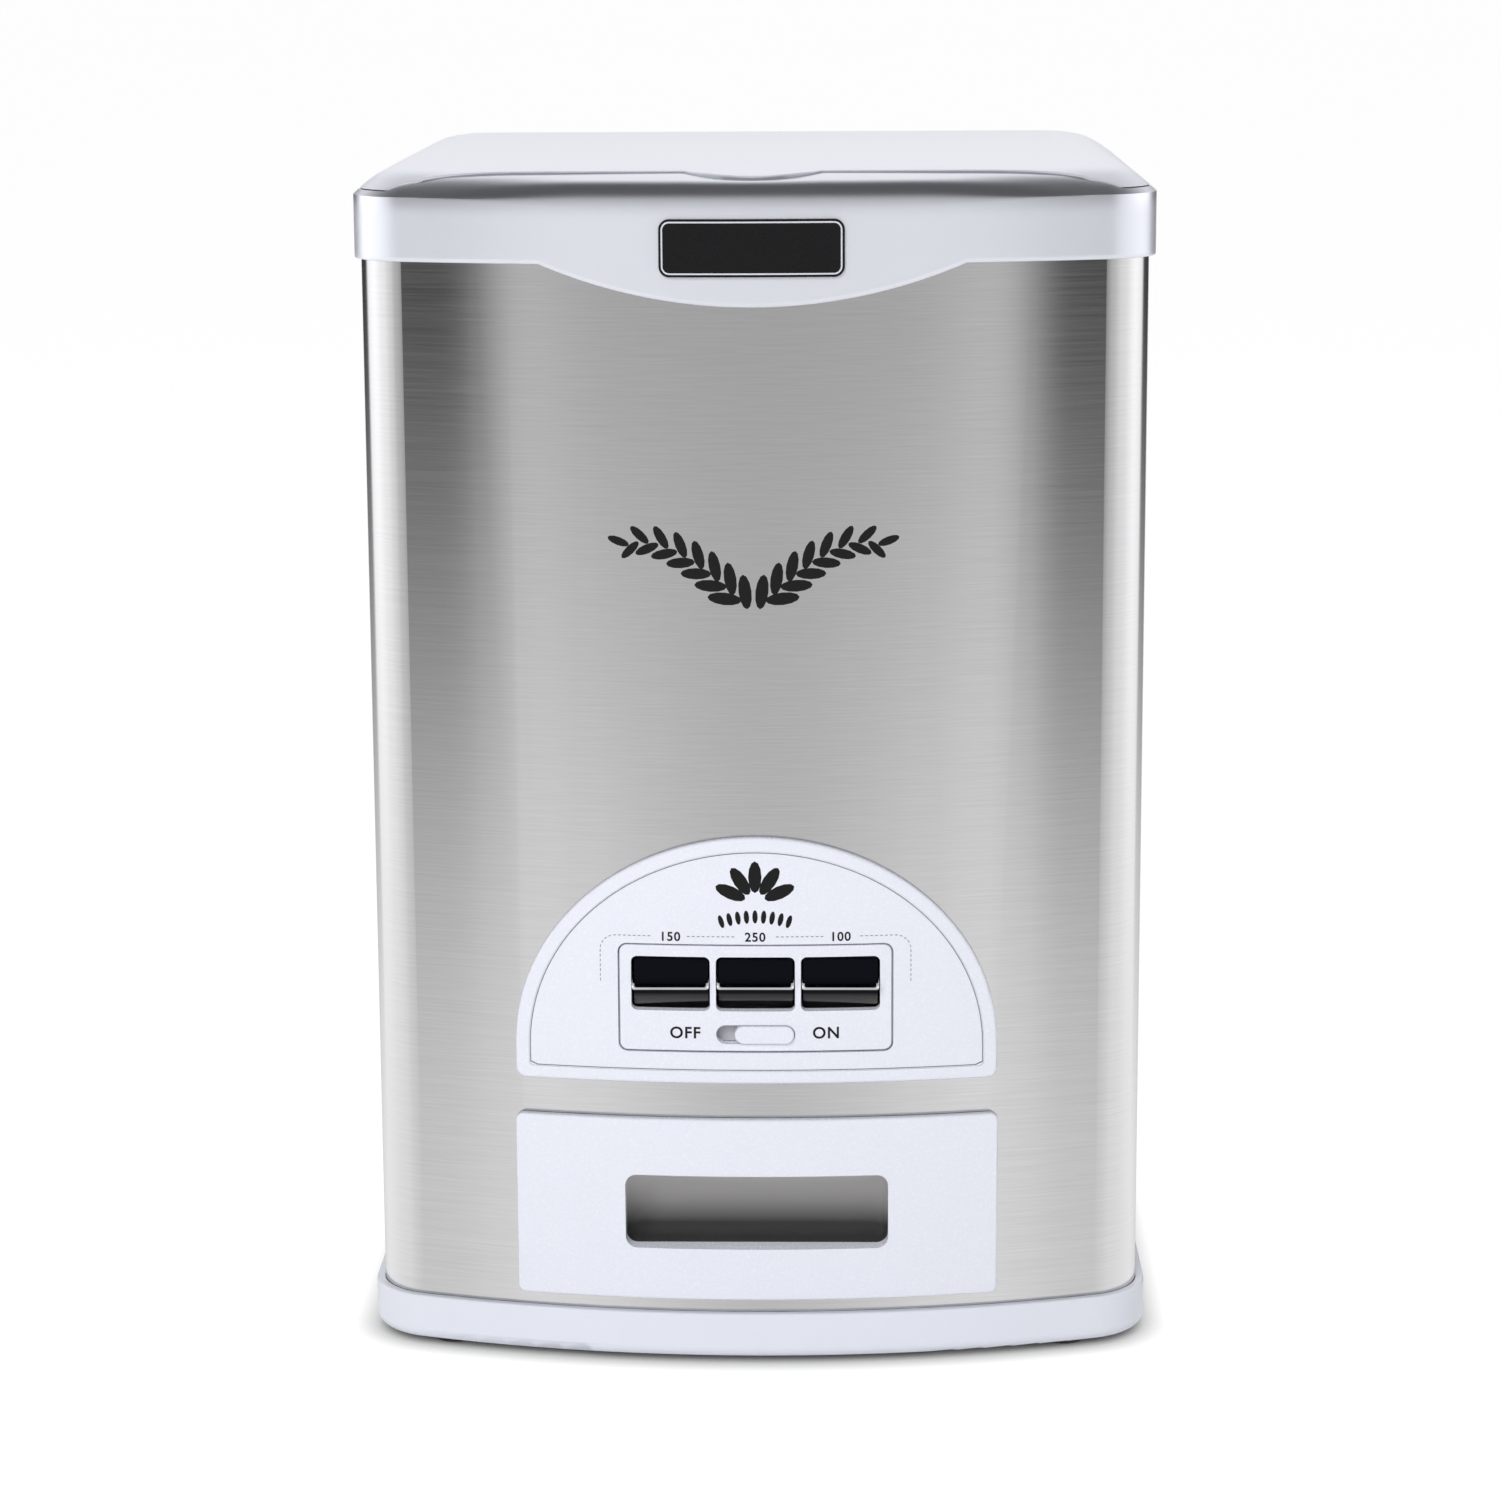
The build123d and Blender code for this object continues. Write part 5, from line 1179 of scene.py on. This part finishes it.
def room(stops, angle):
    """Brightness by an angle, through stops."""
    made = shader(tree, "ValToRGB", [("Fac", ranged(tree, angle, -pi, pi))])
    ramp = made.color_ramp
    ramp.interpolation = "EASE"
    ramp.elements.remove(ramp.elements[1])
    for index, (at, level) in enumerate(stops):
        share = (at + 180) / 360
        element = ramp.elements.new(share) if index else ramp.elements[0]
        element.position = share
        element.color = (level, level, level, 1)
    return made


def between(band, first, second):
    """Colour that passes from one to another through a band of heights in degrees."""
    low, high = map(radians, band)
    rise = ranged(tree, height, low, high, interpolation_type="SMOOTHSTEP")
    return shader(tree, "Mix", [(0, rise), (6, first), (7, second)], data_type="RGBA").outputs[2]


way = shader(tree, "TexCoord")
axes = shader(tree, "SeparateXYZ", [(0, way.outputs["Generated"])]).outputs
to_front = worked(tree, "MULTIPLY", axes["Y"], -1.0)
around = worked(tree, "ARCTAN2", axes["X"], to_front)
over = worked(tree, "ARCTAN2", axes["Z"], to_front)
height = worked(tree, "ARCSINE", axes["Z"])
low_walls = between(DEEP_BAND, room(DEEP_STOPS, around), room(LOW_STOPS, around))
walls = between(LOW_BAND, low_walls, room(WALL_STOPS, around))
whole = between(CEILING_BAND, walls, room(CEILING_STOPS, over))
ray = shader(tree, "LightPath")
room_light = shader(tree, "Background", [("Color", whole)])
backdrop = shader(tree, "Background", [("Color", WHITE)])
by_camera = shader(tree, "MixShader", [
    ("Fac", ray.outputs["Is Camera Ray"]), (1, room_light), (2, backdrop)])
shader(tree, "OutputWorld", [("Surface", by_camera)])


# Lamps: two soft square panels, one high in front and one overhead.
# Metal does not mirror them.
def lamp(name, place, aim, width, power):
    """Square lamp at a place, turned to what it lights."""
    light = bpy.data.lights.new(name, "AREA")
    light.size = width
    light.energy = power
    holder = placed(name, light)
    holder.location = place
    holder.rotation_euler = (Vector(aim) - Vector(place)).to_track_quat("-Z", "Y").to_euler()
    holder.visible_glossy = False


lamp("front_lamp", place=(-0.6, -2.4, 1.9), aim=(0, 0, 0.2), width=1.6, power=54)
lamp("top_lamp", place=(0.2, 0.2, 2.2), aim=(0, 0, 0.3), width=1.4, power=16)

# Camera: a long lens a little above the lid, looking down at the front.
# Place in metres, angles in radians.
EYE = (0.0353, -1.6507, 0.5558)
LENS = 96.73
SENSOR = 36.0
FAR = 200.0
DOWN = 0.200
YAW = -0.0243
CAMERA_ROLL = -0.0055
camera = placed("camera", bpy.data.cameras.new("camera"))
camera.data.lens = LENS
camera.data.sensor_width = SENSOR
camera.data.clip_end = FAR
camera.matrix_world = (Matrix.Translation(EYE) @ Matrix.Rotation(-YAW, 4, "Z")
                       @ Matrix.Rotation(pi / 2 - DOWN, 4, "X") @ Matrix.Rotation(CAMERA_ROLL, 4, "Z"))
bpy.context.scene.camera = camera
bpy.context.scene.view_settings.view_transform = "Standard"
